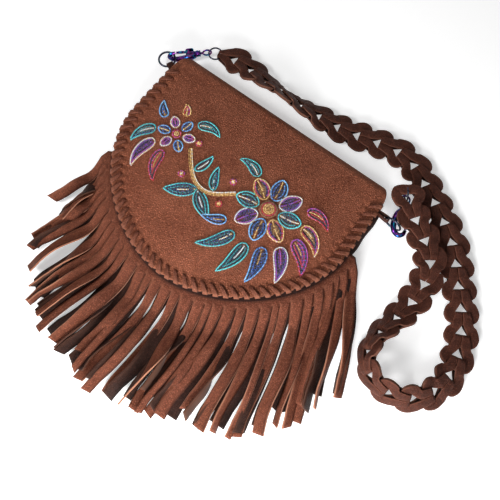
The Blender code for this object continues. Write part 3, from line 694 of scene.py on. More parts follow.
@dataclass(frozen=True)
class LeatherFinish:
    """Grain-side leather."""

    name: str
    deep: Colour
    lit: Colour
    rubbed: Colour
    pebble_scale: float = 620.0
    crease_scale: float = 110.0
    drift_scale: float = 34.0
    bump: float = 0.85
    bump_height: float = 0.0014
    roughness: tuple[float, float] = (0.46, 0.66)
    specular: float = 0.11
    # Painted glints: how much pale speckle lightens the colour, and how pale it is.
    speckle: float = 0.65
    speckle_tone: float = 1.35
    # Painted shade along the creases between pebbles: how much, and how dark.
    pebble_edge_shade: float = 0.8
    pebble_edge_shade_tone: float = 0.5
    # How dark the painted shade mask makes the colour: shadow under the flap's lip, shade on one
    # side of each fringe strand.
    painted_shade_tone: float = 0.12

    def build(self, effects: Effects) -> bpy.types.Material:
        """Makes the material.

        Args:
            effects: the shared shader groups.

        Returns:
            The material.
        """
        dress = Dressing(self.name)
        grain = dress.add("ShaderNodeGroup", {
            "Place": dress.place, "Pebble Scale": self.pebble_scale,
            "Crease Scale": self.crease_scale, "Drift Scale": self.drift_scale},
            node_tree=effects.grain).outputs
        colour = dress.mix(grain["Drift"], self.deep, self.lit)
        # Painted glints: pale speckle lightens the colour.
        colour = dress.mix(dress.math("MULTIPLY", grain["Speckle"], self.speckle), colour,
                           scaled(self.lit, self.speckle_tone))
        # Painted shade along the creases between pebbles.
        colour = dress.mix(dress.math("MULTIPLY", grain["Pebble Edge Shade"], self.pebble_edge_shade), colour,
                           scaled(self.deep, self.pebble_edge_shade_tone))
        # Lightened towards the rubbed colour by the mask of real wear and painted highlight.
        lightened = dress.add("ShaderNodeGroup", {
            "Place": dress.place, "Wear And Highlight": dress.mark("wear"), "Colour": colour,
            "Rubbed": self.rubbed}, node_tree=effects.handling).outputs["Colour"]
        low, high = self.roughness
        return dress.finish({
            # Painted shade: the mask darkens the colour towards the deep tone.
            "Base Color": dress.mix(dress.mark("burnish"), lightened,
                                    scaled(self.deep, self.painted_shade_tone)),
            "Roughness": dress.spread(grain["Drift"], high, low),
            "Normal": dress.bump(self.bump, self.bump_height, grain["Height"]),
            "Specular IOR Level": self.specular})


@dataclass(frozen=True)
class FleshFinish:
    """The suede-like flesh side and the cut edges of leather."""

    name: str
    deep: Colour
    lit: Colour
    scale: float = 1500.0
    bump: float = 0.5
    bump_height: float = 0.0004
    roughness: tuple[float, float] = (0.78, 0.95)
    sheen: float = 0.05
    specular: float = 0.08

    def build(self, effects: Effects) -> bpy.types.Material:
        """Makes the material.

        Args:
            effects: the shared shader groups.

        Returns:
            The material.
        """
        dress = Dressing(self.name)
        fibre = dress.add("ShaderNodeGroup", {"Place": dress.place, "Scale": self.scale},
                          node_tree=effects.fibre).outputs
        return dress.finish({
            "Base Color": dress.mix(fibre["Nap"], self.deep, self.lit),
            "Roughness": dress.spread(fibre["Nap"], *self.roughness),
            "Normal": dress.bump(self.bump, self.bump_height, fibre["Height"]),
            "Sheen Weight": self.sheen, "Specular IOR Level": self.specular})


@dataclass(frozen=True)
class PlatedFinish:
    """Plated metal whose colour drifts over its surface."""

    name: str
    stops: Stops
    drift_scale: float
    roughness: tuple[float, float]
    bump: float = 0.12
    bump_height: float = 0.0002

    def build(self) -> bpy.types.Material:
        """Makes the material.

        Returns:
            The material.
        """
        dress = Dressing(self.name)
        drift = dress.noise(dress.place, self.drift_scale, 1.5, distortion=0.8)
        scuffs = dress.noise(dress.place, 900.0, 6.0, 0.7)
        spread = dress.add("ShaderNodeMapRange", {0: drift, 1: 0.3, 2: 0.7}).outputs[0]
        return dress.finish({
            "Base Color": dress.ramp(spread, self.stops),
            "Roughness": dress.spread(scuffs, *self.roughness),
            "Normal": dress.bump(self.bump, self.bump_height, scuffs), "Metallic": 1.0})


@dataclass(frozen=True)
class BeadFinish:
    """Glass seed beads, toned bead by bead by their attribute."""

    name: str
    stops: Stops
    metallic: float = 0.35
    coat_roughness: float = 0.05
    roughness: tuple[float, float] = (0.1, 0.3)
    streaks: float = 0.5
    streak: Colour = (0.9, 0.9, 0.9)

    def build(self) -> bpy.types.Material:
        """Makes the material.

        Returns:
            The material.
        """
        dress = Dressing(self.name)
        streak = dress.noise(dress.place, 700.0, 2.0)
        return dress.finish({
            "Base Color": dress.mix(dress.spread(streak, 0.0, self.streaks),
                                    dress.ramp(dress.mark("tone"), self.stops), self.streak,
                                    "SOFT_LIGHT"),
            "Roughness": dress.spread(streak, *self.roughness), "Metallic": self.metallic,
            "Coat Weight": 1.0, "Coat Roughness": self.coat_roughness})


@dataclass(frozen=True)
class ThreadFinish:
    """Waxed sewing thread."""

    name: str
    colour: Colour
    pale_tone: float = 1.7
    roughness: float = 0.6
    bump: float = 0.4
    bump_height: float = 0.0002

    def build(self) -> bpy.types.Material:
        """Makes the material.

        Returns:
            The material.
        """
        dress = Dressing(self.name)
        strands = dress.noise(dress.place, 2400.0, 3.0)
        return dress.finish({
            "Base Color": dress.mix(strands, self.colour, scaled(self.colour, self.pale_tone)),
            "Normal": dress.bump(self.bump, self.bump_height, strands),
            "Roughness": self.roughness})


class Finishes:
    """Every material of the bag, by its use."""

    def __init__(self) -> None:
        """Builds the groups and then the materials."""
        effects = Effects()
        self.leather = LeatherFinish("bag leather", (0.175, 0.048, 0.024), (0.40, 0.132, 0.070),
                                     (0.45, 0.18, 0.10)).build(effects)
        # Near-black side wall: painted shade under the flap's lip.
        self.wall = LeatherFinish("painted shade side wall leather", (0.012, 0.005, 0.004),
                                  (0.040, 0.015, 0.010), (0.07, 0.03, 0.02)).build(effects)
        self.suede = FleshFinish("bag suede", (0.10, 0.034, 0.020),
                                 (0.22, 0.085, 0.05)).build(effects)
        # Its rubbed colour serves as the painted highlight on one side of each strand.
        self.fringe = LeatherFinish("fringe leather", (0.112, 0.031, 0.016),
                                    (0.235, 0.073, 0.039), (0.34, 0.125, 0.072),
                                    drift_scale=60.0, bump=0.7).build(effects)
        self.fringe_edge = FleshFinish("fringe cut edge", (0.16, 0.058, 0.034),
                                       (0.34, 0.15, 0.09)).build(effects)
        # Near-black flesh side: painted shade, seen most between the fringe strands.
        self.shaded_fringe_suede = FleshFinish("painted shade fringe suede", (0.030, 0.012, 0.008),
                                        (0.075, 0.032, 0.020)).build(effects)
        # Near-black back layer: painted shade in the gaps between the front strands.
        self.shaded_under_fringe = LeatherFinish("painted shade under fringe leather", (0.014, 0.005, 0.003),
                                          (0.045, 0.016, 0.010), (0.09, 0.035, 0.02),
                                          bump=0.6).build(effects)
        self.strap = LeatherFinish("strap leather", (0.031, 0.0088, 0.0050),
                                   (0.100, 0.0290, 0.0165), (0.17, 0.056, 0.033),
                                   drift_scale=70.0, bump=0.7).build(effects)
        self.strap_suede = FleshFinish("strap suede", (0.022, 0.009, 0.006),
                                       (0.06, 0.024, 0.016)).build(effects)
        self.strap_edge = FleshFinish("strap cut edge", (0.06, 0.022, 0.014),
                                      (0.13, 0.055, 0.036)).build(effects)
        self.lace = LeatherFinish("lace leather", (0.115, 0.034, 0.019), (0.25, 0.082, 0.047),
                                  (0.31, 0.12, 0.07), drift_scale=140.0,
                                  bump=0.6).build(effects)
        self.lace_edge = FleshFinish("lace cut edge", (0.06, 0.02, 0.012),
                                     (0.16, 0.06, 0.036)).build(effects)
        # Kept dark, with near-black bands in the drift, to paint dark reflections into the colour;
        # the teal, blue, purple and magenta are the plating's own.
        self.iridescent = PlatedFinish(
            "iridescent plating",
            ((0.0, (0.01, 0.20, 0.27)), (0.22, (0.012, 0.05, 0.24)), (0.42, (0.012, 0.012, 0.03)),
             (0.6, (0.09, 0.02, 0.20)), (0.75, (0.24, 0.03, 0.19)), (0.88, (0.015, 0.02, 0.06)),
             (1.0, (0.015, 0.17, 0.28))),
            150.0, (0.06, 0.2)).build()
        self.dark_metal = PlatedFinish(
            "dark plating",
            ((0.0, (0.015, 0.02, 0.03)), (0.5, (0.045, 0.04, 0.06)), (1.0, (0.02, 0.045, 0.055))),
            160.0, (0.16, 0.32)).build()
        self.steel = PlatedFinish(
            "pin steel", ((0.0, (0.16, 0.17, 0.2)), (1.0, (0.28, 0.28, 0.31))),
            300.0, (0.22, 0.4)).build()
        self.thread = ThreadFinish("waxed thread", (0.09, 0.035, 0.024)).build()
        self.beads = {
            Thread.GOLD: BeadFinish("gold beads", (
                (0.0, (0.16, 0.065, 0.02)), (0.35, (0.50, 0.26, 0.06)), (0.65, (0.80, 0.50, 0.18)),
                (1.0, (0.62, 0.62, 0.62)))).build(),
            Thread.TEAL: BeadFinish("teal beads", (
                (0.0, (0.004, 0.06, 0.07)), (0.5, (0.01, 0.27, 0.30)),
                (1.0, (0.08, 0.58, 0.58)))).build(),
            Thread.BLUE: BeadFinish("blue beads", (
                (0.0, (0.004, 0.006, 0.02)), (0.5, (0.012, 0.07, 0.30)),
                (1.0, (0.18, 0.45, 0.80)))).build(),
            Thread.VIOLET: BeadFinish("violet beads", (
                (0.0, (0.045, 0.006, 0.07)), (0.5, (0.20, 0.04, 0.36)), (0.8, (0.42, 0.05, 0.25)),
                (1.0, (0.42, 0.015, 0.02)))).build(),
        }


# Sheets that follow the flap's outline


@dataclass
class Outline:
    """The flap's outline seen flat: straight sides and a rounded lower edge."""

    top_y: float = 0.103
    drop: float = 0.207
    shoulder_drop: float = 0.086
    fold_half: float = 0.118
    top_half: float = 0.132
    shoulder_half: float = 0.1335
    corner_drop: float = 0.022
    power: float = 1.82
    side_steps: int = 200
    curve_steps: int = 500

    def half_width(self, drop: Array) -> Array:
        """Half the width at distances below the top edge, above the shoulder.

        Args:
            drop: distances below the top edge.

        Returns:
            Half widths.
        """
        held = np.clip(drop, 0.0, self.shoulder_drop)
        full = self.top_half + (self.shoulder_half - self.top_half) * np.sin(
            held / self.shoulder_drop * math.pi / 2)
        near = np.clip(held / self.corner_drop, 0.0, 1.0)
        share = np.sqrt(np.clip(1 - (1 - near) ** 2, 0.0, 1.0))
        return self.fold_half + (full - self.fold_half) * share

    def lower(self, across: Array, down: Array) -> tuple[Array, Array]:
        """Places the part below the shoulder from shares -1..1 and 0..1.

        Args:
            across: shares across.
            down: shares down.

        Returns:
            Places along X and along Y.
        """
        level_x = across * np.sqrt(1 - down ** 2 / 2)
        level_y = down * np.sqrt(1 - across ** 2 / 2)
        reach = np.hypot(level_x, level_y)
        safe = np.maximum(reach, 1e-9)
        cos, sin = level_x / safe, level_y / safe
        scale = 1 / (np.abs(cos) ** self.power + np.abs(sin) ** self.power) ** (1 / self.power)
        x = reach * cos * scale * self.shoulder_half
        y = self.top_y - self.shoulder_drop - reach * sin * scale * (self.drop - self.shoulder_drop)
        return x, y

    def round_off(self, side: Array, down: Array, x: Array, y: Array) -> tuple[Array, Array]:
        """Swaps in the rounded lower part where a sheet has passed the shoulder."""
        low_x, low_y = self.lower(side, np.clip(down, 0, 1))
        return np.where(down >= 0, low_x, x), np.where(down >= 0, low_y, y)

    def rim(self, top_y: float) -> "Rim":
        """The curved edge from a height Y on the left round to the same on the right.

        Args:
            top_y: the height Y of its upper ends.

        Returns:
            The curved edge.
        """
        drops = np.linspace(self.top_y - top_y, self.shoulder_drop, self.side_steps)
        side = np.column_stack([-self.half_width(drops), self.top_y - drops])
        angle = np.linspace(0, math.pi / 2, self.curve_steps)[1:]
        power = 2 / self.power
        curve = np.column_stack([
            -self.shoulder_half * np.clip(np.cos(angle), 0, 1) ** power,
            self.top_y - self.shoulder_drop
            - (self.drop - self.shoulder_drop) * np.sin(angle) ** power])
        left = np.vstack([side, curve])
        right = left[-2::-1] * (-1, 1)
        return Rim(np.vstack([left, right]))


class Rim:
    """A curved edge measured along its length from the left."""

    def __init__(self, points: Array) -> None:
        """Measures the edge.

        Args:
            points: points along it from the left.
        """
        self.points = points
        self.lengths = run_lengths(points)
        self.length = float(self.lengths[-1])

    def at(self, place: Array) -> Array:
        """Points on the edge."""
        return follow(place, self.lengths, self.points)

    def outward(self, place: Array, reach: float = 0.003) -> Array:
        """Unit vectors that point out of the sheet.

        Args:
            place: where it lies.
            reach: how far to look.

        Returns:
            One row for each place.
        """
        ahead = self.at(np.clip(place + reach, 0, self.length))
        behind = self.at(np.clip(place - reach, 0, self.length))
        return -left_of(unit(ahead - behind))

    def offset(self, place: Array, outwards: Array | float) -> Array:
        """Points beside the edge."""
        place = np.atleast_1d(place)
        return self.at(place) + self.outward(place) * np.reshape(outwards, (-1, 1))

    def where_y(self, y: float, side: Side) -> float:
        """The distance along the edge at which it crosses a height Y.

        Args:
            y: places along Y.
            side: the bag's end.

        Returns:
            The distance from the left.
        """
        half = len(self.lengths) // 2
        if side is Side.RIGHT:
            return float(np.interp(y, self.points[half:, 1], self.lengths[half:]))
        return float(np.interp(-y, -self.points[:half + 1, 1], self.lengths[:half + 1]))

    def inset(self, piece: Piece) -> Array:
        """How far each point of a flat piece lies from the edge."""
        points = Bench.points(piece)
        return self.nearest(points[:, 0], points[:, 1])[1]

    def nearest(self, x: Array, y: Array) -> tuple[Array, Array]:
        """The nearest place along the edge and the distance to it, for many points.

        Args:
            x: places along X.
            y: places along Y.

        Returns:
            Places along the edge, and distances from it.
        """
        place = np.empty(len(x))
        away = np.empty(len(x))
        for start in range(0, len(x), 4000):
            part = slice(start, start + 4000)
            apart = np.hypot(x[part, None] - self.points[:, 0], y[part, None] - self.points[:, 1])
            best = apart.argmin(axis=1)
            place[part] = self.lengths[best]
            away[part] = apart[np.arange(len(best)), best]
        return place, away


@dataclass
class FlapShape:
    """Where the flap's surface lies: its fold, crown, puckers and soft waves."""

    outline: Outline
    thickness: float = 0.0018
    fold_sweep: float = math.radians(212.0)
    stitch_pitch: float = 0.010
    stitch_inset: float = 0.0112
    first_hole_share: float = 0.25
    crown: float = 0.0022
    scallop: float = 0.0016
    scallop_reach: float = 0.006
    fold_blend: float = 0.012
    pinch: float = 0.0009
    pinch_reach: float = 0.0045
    edge_pucker: float = 0.0005
    edge_reach: float = 0.004
    slow_wave: float = 0.00045
    quick_wave: float = 0.0003
    puff: float = 0.0006
    # Over what height below the corner the lacing's effects come in.
    laced_blend: float = 0.01

    def __post_init__(self) -> None:
        """Takes the fold from the CAD flap's box and lays out the stitches."""
        self.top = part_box("flap")[1].z
        self.fold_outer = self.top / 2
        self.fold_middle = self.fold_outer - self.thickness / 2
        self.hinge_y = self.outline.top_y - self.fold_outer
        self.hinge_z = self.fold_outer
        self.middle = self.top - self.thickness / 2
        self.rim = self.outline.rim(self.hinge_y)
        start = self.rim.where_y(self.outline.top_y - self.outline.corner_drop, Side.LEFT)
        laced = self.rim.length - 2 * start
        self.stitches = int(laced / self.stitch_pitch)
        self.pitch = laced / self.stitches
        self.first = start + self.pitch * self.first_hole_share
        self.fold_length = self.fold_middle * self.fold_sweep
        self.side_length = self.hinge_y - (self.outline.top_y - self.outline.shoulder_drop)
        self.lower_length = self.outline.drop - self.outline.shoulder_drop

    def laced(self, y: Array) -> Array:
        """0 above the lacing's ends and 1 a little below them."""
        below = self.outline.top_y - self.outline.corner_drop - y
        return np.clip(below / self.laced_blend, 0, 1)

    def lift(self, x: Array, y: Array) -> Array:
        """How far the middle of the sheet stands above the CAD flap's own middle.

        Args:
            x: places along X.
            y: places along Y.

        Returns:
            Heights.
        """
        place, inset = self.rim.nearest(x, y)
        phase = 2 * math.pi * (place - self.first) / self.pitch
        low_y = self.outline.top_y - self.outline.drop
        share_y = (y - low_y) / (self.hinge_y - low_y)
        dome = np.sin(math.pi * np.clip(share_y, 0, 1)) ** 0.8 * np.clip(inset / 0.07, 0, 1) ** 0.7
        near_holes = np.exp(-((inset - self.stitch_inset) / self.pinch_reach) ** 2)
        at_edge = np.exp(-(inset / self.edge_reach) ** 2)
        puckers = -self.pinch * near_holes * (0.35 + 0.65 * np.cos(phase))
        puckers += self.edge_pucker * at_edge * np.cos(phase)
        waves = self.slow_wave * np.sin(x * 61 + 2.0 * np.sin(y * 37)) * np.sin(y * 48 + 1.1)
        waves += self.quick_wave * np.sin(x * 140 + y * 90 + 0.7) * np.clip(inset / 0.02, 0, 1)
        puffed = smooth_step((inset - 0.013) / 0.01) * np.clip(1 - inset / 0.06, 0, 1)
        puffed = self.puff * puffed
        calm = np.clip(share_y * -6 + 6, 0, 1)
        return self.crown * dome + self.laced(y) * (puckers + puffed) + waves * calm

    def surface(self, x: Array, y: Array) -> Array:
        """The height of the flap's grain side."""
        return self.middle + self.lift(x, y) + self.thickness / 2

    def form(self, across: Array, along: Array) -> Array:
        """Places the flap's sheet from the fold's inner end to the laced edge.

        Args:
            across: shares across.
            along: shares along.

        Returns:
            One row for each point.
        """
        total = self.fold_length + self.side_length + self.lower_length
        distance = along * total
        side = 2 * across - 1
        angle = self.fold_sweep * np.clip(1 - distance / self.fold_length, 0, 1)
        reach = self.fold_outer * np.where(angle < math.pi / 2, np.sin(angle), 1.0)
        flat = distance - self.fold_length
        drop = np.where(flat < 0, self.outline.top_y - self.hinge_y - reach,
                        self.outline.top_y - self.hinge_y + flat)
        x = side * self.outline.half_width(drop)
        y = np.where(flat < 0, self.hinge_y + self.fold_middle * np.sin(angle), self.hinge_y - flat)
        z = np.where(flat < 0, self.hinge_z + self.fold_middle * np.cos(angle), self.middle)
        x, y = self.outline.round_off(side, (flat - self.side_length) / self.lower_length, x, y)
        place, inset = self.rim.nearest(x, y)
        over = 2 * math.pi * (place - self.first - self.pitch / 2) / self.pitch
        pull = self.laced(y) * self.scallop * (0.5 + 0.5 * np.cos(over))
        pull = pull * np.exp(-(inset / self.scallop_reach) ** 2)
        out = self.rim.outward(place)
        keep = np.where(flat > 0, 1.0, 0.0)
        x -= out[:, 0] * pull * keep
        y -= out[:, 1] * pull * keep
        ease = smooth_step(flat / self.fold_blend)
        z = z + ease * np.where(flat > 0, self.lift(x, y), 0.0)
        return np.column_stack([x, y, z])


@dataclass
class Flap:
    """The flap's leather sheet with its fold over the bag's top."""

    shape: FlapShape
    across: int = 176
    along: int = 150
    fold_wear: float = 0.5
    fold_wear_reach: float = 0.006
    edge_wear: float = 0.55
    edge_wear_reach: float = 0.0016
    blend_start: tuple[float, float, float] = (0.0, 0.0866, 0.0026)
    blend_end: tuple[float, float, float] = (0.0, 0.0681, 0.0273)

    def build(self, finishes: Finishes) -> Piece:
        """Shapes the sheet with its fold round the hinge, and thickens it.

        Args:
            finishes: the bag's finishes.

        Returns:
            The built piece.
        """
        piece = Bench.grid("flap_leather", self.across, self.along, self.shape.form)
        points = Bench.points(piece)
        inset = self.shape.rim.inset(piece)
        away = points[:, 1] - self.shape.outline.top_y
        fold = self.fold_wear * np.exp(-(away / self.fold_wear_reach) ** 2)
        rubbed = np.where(points[:, 2] > self.shape.middle - self.shape.thickness,
                          np.exp(-inset / self.edge_wear_reach), 0)
        Bench.rub(piece, np.maximum(fold, rubbed * self.edge_wear))
        Bench.flip(piece)
        Bench.sheet(piece, self.shape.thickness, finishes.leather, finishes.suede, finishes.suede)
        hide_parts("flap")
        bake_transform(piece)
        LOG.info("%s: %d faces, bent across the hinge", piece.name, len(piece.data.polygons))
        return piece


@dataclass
class Lacing:
    """One flat lace whipstitched over the flap's edge."""

    shape: FlapShape
    width: float = 0.0048
    hole_width: float = 0.0024
    thickness: float = 0.0011
    clearance: float = 0.0002
    crown: float = 0.00035
    wobble: float = 0.0002
    # Where in its last stitch the lace ends, and how far apart its direction is taken.
    last_share: float = 0.78
    aim_step: float = 0.02
    least_run: float = 0.0004
    # How much the lace's width follows its own run rather than the rim's.
    turned: float = 0.75
    edge_wear: float = 0.7
    edge_wear_reach: float = 0.002
    steps: int = 18
    cells: int = 4

    def station(self, share: Array) -> tuple[Array, Array, Array, Array]:
        """Place along the rim, inset, height over the middle of the flap and squeeze.

        Args:
            share: how far the lace has gone, in stitches.

        Returns:
            Four rows of numbers, one for each measure.
        """
        stitch = np.floor(share)
        turn = share - stitch
        rise = self.shape.thickness / 2 + self.clearance + self.thickness / 2
        hole = self.shape.stitch_inset
        past = self.clearance + self.thickness / 2
        # Knots of one stitch: up through the hole, over to the edge, round it and back.
        knots = np.array([0.0, 0.07, 0.14, 0.50, 0.58, 0.64, 0.70, 0.78, 0.93, 1.0])
        inset = np.array([hole, hole, hole - 0.0012, 0.0016, -past * 0.4, -past, -past * 0.4,
                          0.0016, hole - 0.0012, hole])
        height = np.array([-0.9, 0.0, 1.25, 1.2, 0.75, 0.0, -0.75, -1.0, -1.0, -0.9]) * rise
        along = np.array([0.0, 0.0, 0.04, 0.62, 0.67, 0.68, 0.69, 0.72, 0.98, 1.0])
        squeeze = np.array([0.0, 0.0, 0.2, 0.95, 1.0, 1.0, 1.0, 0.9, 0.25, 0.0])
        place = self.shape.first + (stitch + np.interp(turn, knots, along)) * self.shape.pitch
        width = self.hole_width + (self.width - self.hole_width) * np.interp(turn, knots, squeeze)
        return place, np.interp(turn, knots, inset), np.interp(turn, knots, height), width

    def form(self, across: Array, along: Array) -> Array:
        """Places the ribbon's points.

        Args:
            across: shares across the lace.
            along: shares along.

        Returns:
            One row for each point.
        """
        rim = self.shape.rim
        last = self.shape.stitches - 1 + self.last_share
        share = along * last
        place, inset, height, width = self.station(share)
        ahead = self.station(np.minimum(share + self.aim_step, last))
        behind = self.station(np.maximum(share - self.aim_step, 0.0))
        start = rim.offset(behind[0], -behind[1])
        end = rim.offset(ahead[0], -ahead[1])
        direction = end - start
        length = np.linalg.norm(direction, axis=1, keepdims=True)
        rim_along = left_of(rim.outward(place))
        runs = length > self.least_run
        direction = np.where(runs, direction / np.maximum(length, 1e-9), 0.0)
        side = left_of(direction)
        agree = np.sign(np.sum(side * rim_along, axis=1, keepdims=True))
        mixed = side * agree * self.turned + rim_along * (1 - self.turned)
        side = np.where(runs, mixed, rim_along)
        side /= np.linalg.norm(side, axis=1, keepdims=True)
        center = rim.offset(place, -inset)
        wide = (across - 0.5) * width
        x = center[:, 0] + side[:, 0] * wide
        y = center[:, 1] + side[:, 1] * wide
        lift = self.shape.lift(x, np.minimum(y, self.shape.hinge_y))
        crowned = self.crown * (1 - (2 * across - 1) ** 2) * np.sign(height)
        wobble = self.wobble * uneven(np.floor(share) * 1.3) * (2 * across - 1)
        return np.column_stack([x, y, self.shape.middle + lift + height + crowned + wobble])

    def build(self, finishes: Finishes, flap: Flap) -> Piece:
        """Sweeps the lace.

        Args:
            finishes: the bag's finishes.
            flap: not used.

        Returns:
            The built piece.
        """
        rows = int(self.shape.stitches * self.steps)
        piece = Bench.grid("flap_lace", self.cells, rows, self.form)
        lightened = np.exp(-self.shape.rim.inset(piece) / self.edge_wear_reach)
        Bench.rub(piece, lightened * self.edge_wear)
        Bench.flip(piece)
        Bench.sheet(piece, self.thickness, finishes.lace, finishes.shaded_fringe_suede,
                    finishes.lace_edge)
        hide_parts("flap_lacing")
        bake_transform(piece)
        LOG.info("%s: %d faces", piece.name, len(piece.data.polygons))
        return piece


@dataclass
class Pouch:
    """The pouch under the flap: back, side wall and front, with their seams."""

    shape: FlapShape
    inset: float = 0.005
    wall: float = 0.0025
    panel: float = 0.0018
    bulge: float = 0.0088
    sag: float = 0.0012
    seam_inset: float = 0.0035
    seam_pitch: float = 0.0042
    seam_depth: float = 0.0004
    seam_reach: float = 0.0015
    back_lift: float = 0.0003
    ripple: float = 0.0003
    crumple: float = 0.0005
    wall_sink: float = 0.0006
    rise_reach: float = 0.05
    edge_wear: float = 0.6
    edge_wear_reach: float = 0.002
    wall_cells: tuple[int, int] = (8, 240)
    top_seam_half: float = 0.112
    top_seam_drop: float = 0.004
    across: int = 96
    along: int = 72

    def panel_form(self, top_y: float, middle: float, lift: float) -> Form:
        """A panel inside the outline, slightly crowned.

        Args:
            top_y: height Y of its straight edge.
            middle: height Z of its middle surface at the seam.
            lift: how far the panel's centre stands proud, signed.

        Returns:
            The form for a grid.
        """
        outline = self.shape.outline

        def form(across: Array, along: Array) -> Array:
            """Places the panel's points.

            Args:
                across: shares across.
                along: shares down.

            Returns:
                One row for each point.
            """
            side = 2 * across - 1
            upper = top_y - (outline.top_y - outline.shoulder_drop)
            lower = outline.drop - outline.shoulder_drop
            distance = along * (upper + lower)
            drop = outline.top_y - top_y + distance
            x, y = outline.round_off(side, (distance - upper) / lower,
                                     side * outline.half_width(drop), top_y - distance)
            shrink_x = 1 - self.inset / outline.shoulder_half
            center_y = outline.top_y - outline.shoulder_drop
            shrink_y = np.where(y < center_y, 1 - self.inset / lower, 1.0)
            x = x * shrink_x
            y = center_y + (y - center_y) * shrink_y
            _, inset = self.shape.rim.nearest(x, y)
            dome = np.clip((inset - self.inset) / self.rise_reach, 0, 1) ** 0.8
            ripple = np.sin(x * 70 + 1.3 * np.sin(y * 45)) * np.sin(y * 58) * dome
            away = inset - self.inset - self.seam_inset
            seam = math.copysign(self.seam_depth, -lift) * np.exp(-(away / self.seam_reach) ** 2)
            return np.column_stack([x, y, middle + lift * dome + self.ripple * ripple + seam])

        return form

    def wall_form(self, across: Array, along: Array) -> Array:
        """The side wall: a strip round the outline that bellies outwards.

        Args:
            across: shares across.
            along: shares along.

        Returns:
            One row for each point.
        """
        low, high = (corner.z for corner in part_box("gusset"))
        top_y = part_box("gusset")[1].y
        rim = self.shape.rim
        start = rim.where_y(top_y, Side.LEFT)
        end = rim.where_y(top_y, Side.RIGHT)
        place = start + (end - start) * along
        belly = self.bulge * np.sin(math.pi * across ** 0.65)
        crumple = self.crumple * np.sin(place * 210) * np.sin(math.pi * across)
        out = -(self.inset + self.wall / 2) + belly + crumple - self.wall_sink
        return np.column_stack([rim.offset(place, out), low + (high - low) * across])

    def build(self, finishes: Finishes) -> None:
        """Builds the three sheets and the thread that shows on them.

        Args:
            finishes: the bag's finishes.
        """
        back_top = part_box("back_panel")[1].y
        back = Bench.grid("pouch_back", self.across, self.along,
                          self.panel_form(back_top, self.panel / 2, self.back_lift))
        front_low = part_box("front_panel")[0].z
        front_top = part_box("front_panel")[1].y
        front = Bench.grid("pouch_front", self.across, self.along,
                           self.panel_form(front_top, front_low + self.panel / 2, -self.sag))
        wall = Bench.grid("pouch_wall", *self.wall_cells, self.wall_form)
        for piece, node in ((back, "back_panel"), (front, "front_panel"), (wall, "gusset")):
            self.rub(piece)
            if piece is not back:
                Bench.flip(piece)
            # The side wall's near-black leather is painted shade under the flap's lip.
            grain = finishes.wall if piece is wall else finishes.leather
            thickness = self.wall if piece is wall else self.panel
            Bench.sheet(piece, thickness, grain, finishes.suede, finishes.suede)
            Bench.settle(piece, "root", "leather", node)
        self.sew(finishes)

    def rub(self, piece: Piece) -> None:
        """Marks where a sheet is rubbed: along the outline."""
        away = np.abs(self.shape.rim.inset(piece) - self.inset)
        Bench.rub(piece, self.edge_wear * np.exp(-away / self.edge_wear_reach))

    def sew(self, finishes: Finishes) -> None:
        """Lays a row of stitches round the back panel.

        Args:
            finishes: the bag's finishes.
        """
        rim = self.shape.rim
        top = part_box("back_panel")[1].y - self.top_seam_drop
        start = rim.where_y(top, Side.LEFT)
        end = rim.where_y(top, Side.RIGHT)
        count = int((end - start) / self.seam_pitch)
        places = np.linspace(start, end, count, endpoint=False) + self.seam_pitch / 2
        centers = rim.offset(places, -(self.inset + self.seam_inset))
        outward = rim.outward(places)
        level = 0.0001
        spots = [(Vector((*c, level)), Vector((-o[1], o[0], 0)), Vector((0, 0, -1)))
                 for c, o in zip(centers, outward)]
        half = self.top_seam_half
        edge = np.arange(-half, half + 0.0001, self.seam_pitch)
        spots += [(Vector((x, top, level)), Vector((1, 0, 0)), Vector((0, 0, -1)))
                  for x in edge]
        piece = Copies.make("back_stitches", Stitch().build(), spots)
        Bench.dress(piece, finishes.thread)
        Bench.smooth(piece)
        Bench.settle(piece, "root", "leather")


@dataclass
class Stitch:
    """One short stitch of thread, modelled once."""

    length: float = 0.0030
    radius: float = 0.00038

    def build(self) -> Piece:
        """A capsule that dips at both ends, along X with its top towards Z.

        Returns:
            The stitch.
        """
        Bench.clear()
        bpy.ops.mesh.primitive_cylinder_add(vertices=6, radius=self.radius, depth=self.length,
                                            rotation=(0, math.pi / 2, 0))
        piece = Bench.added("stitch_form")
        with Bench.editing(piece):
            bpy.ops.mesh.subdivide(number_cuts=1)
        points = Bench.points(piece)
        share = points[:, 0] / (self.length / 2)
        points[:, 1:] *= (1 - 0.45 * share[:, None] ** 2)
        points[:, 2] -= self.radius * 1.3 * share ** 4
        Bench.move(piece, points)
        return piece


class Copies:
    """Many copies of one modelled form, joined in one mesh."""

    @staticmethod
    def make(name: str, form: Piece,
             spots: Sequence[Spot],
             tones: Array | None = None) -> Piece:
        """Copies a form to every spot.

        Args:
            name: the joined piece's name.
            form: the form, which is used up.
            spots: place, direction for the form's X and direction for its Z.
            tones: one tone for each copy, kept as an attribute.

        Returns:
            The joined piece.
        """
        local = Bench.points(form)
        faces = [tuple(face.vertices) for face in form.data.polygons]
        size = len(local)
        places = np.array([tuple(spot[0]) for spot in spots])
        first = np.array([tuple(spot[1].normalized()) for spot in spots])
        third = np.array([tuple(spot[2].normalized()) for spot in spots])
        second = np.cross(third, first)
        second /= np.linalg.norm(second, axis=1, keepdims=True)
        third = np.cross(first, second)
        points = (places[:, None, :] + local[None, :, 0:1] * first[:, None, :]
                  + local[None, :, 1:2] * second[:, None, :]
                  + local[None, :, 2:3] * third[:, None, :]).reshape(-1, 3)
        mesh = bpy.data.meshes.new(name)
        joined = [tuple(k * size + v for v in face) for k in range(len(spots)) for face in faces]
        mesh.from_pydata(points.tolist(), [], joined)
        if tones is not None:
            tone = mesh.attributes.new("tone", "FLOAT", "POINT")
            tone.data.foreach_set("value", np.repeat(tones, size).astype(np.float32))
        used = form.data
        bpy.data.objects.remove(form, do_unlink=True)
        bpy.data.meshes.remove(used)
        piece = bpy.data.objects.new(name, mesh)
        bpy.context.collection.objects.link(piece)
        return piece


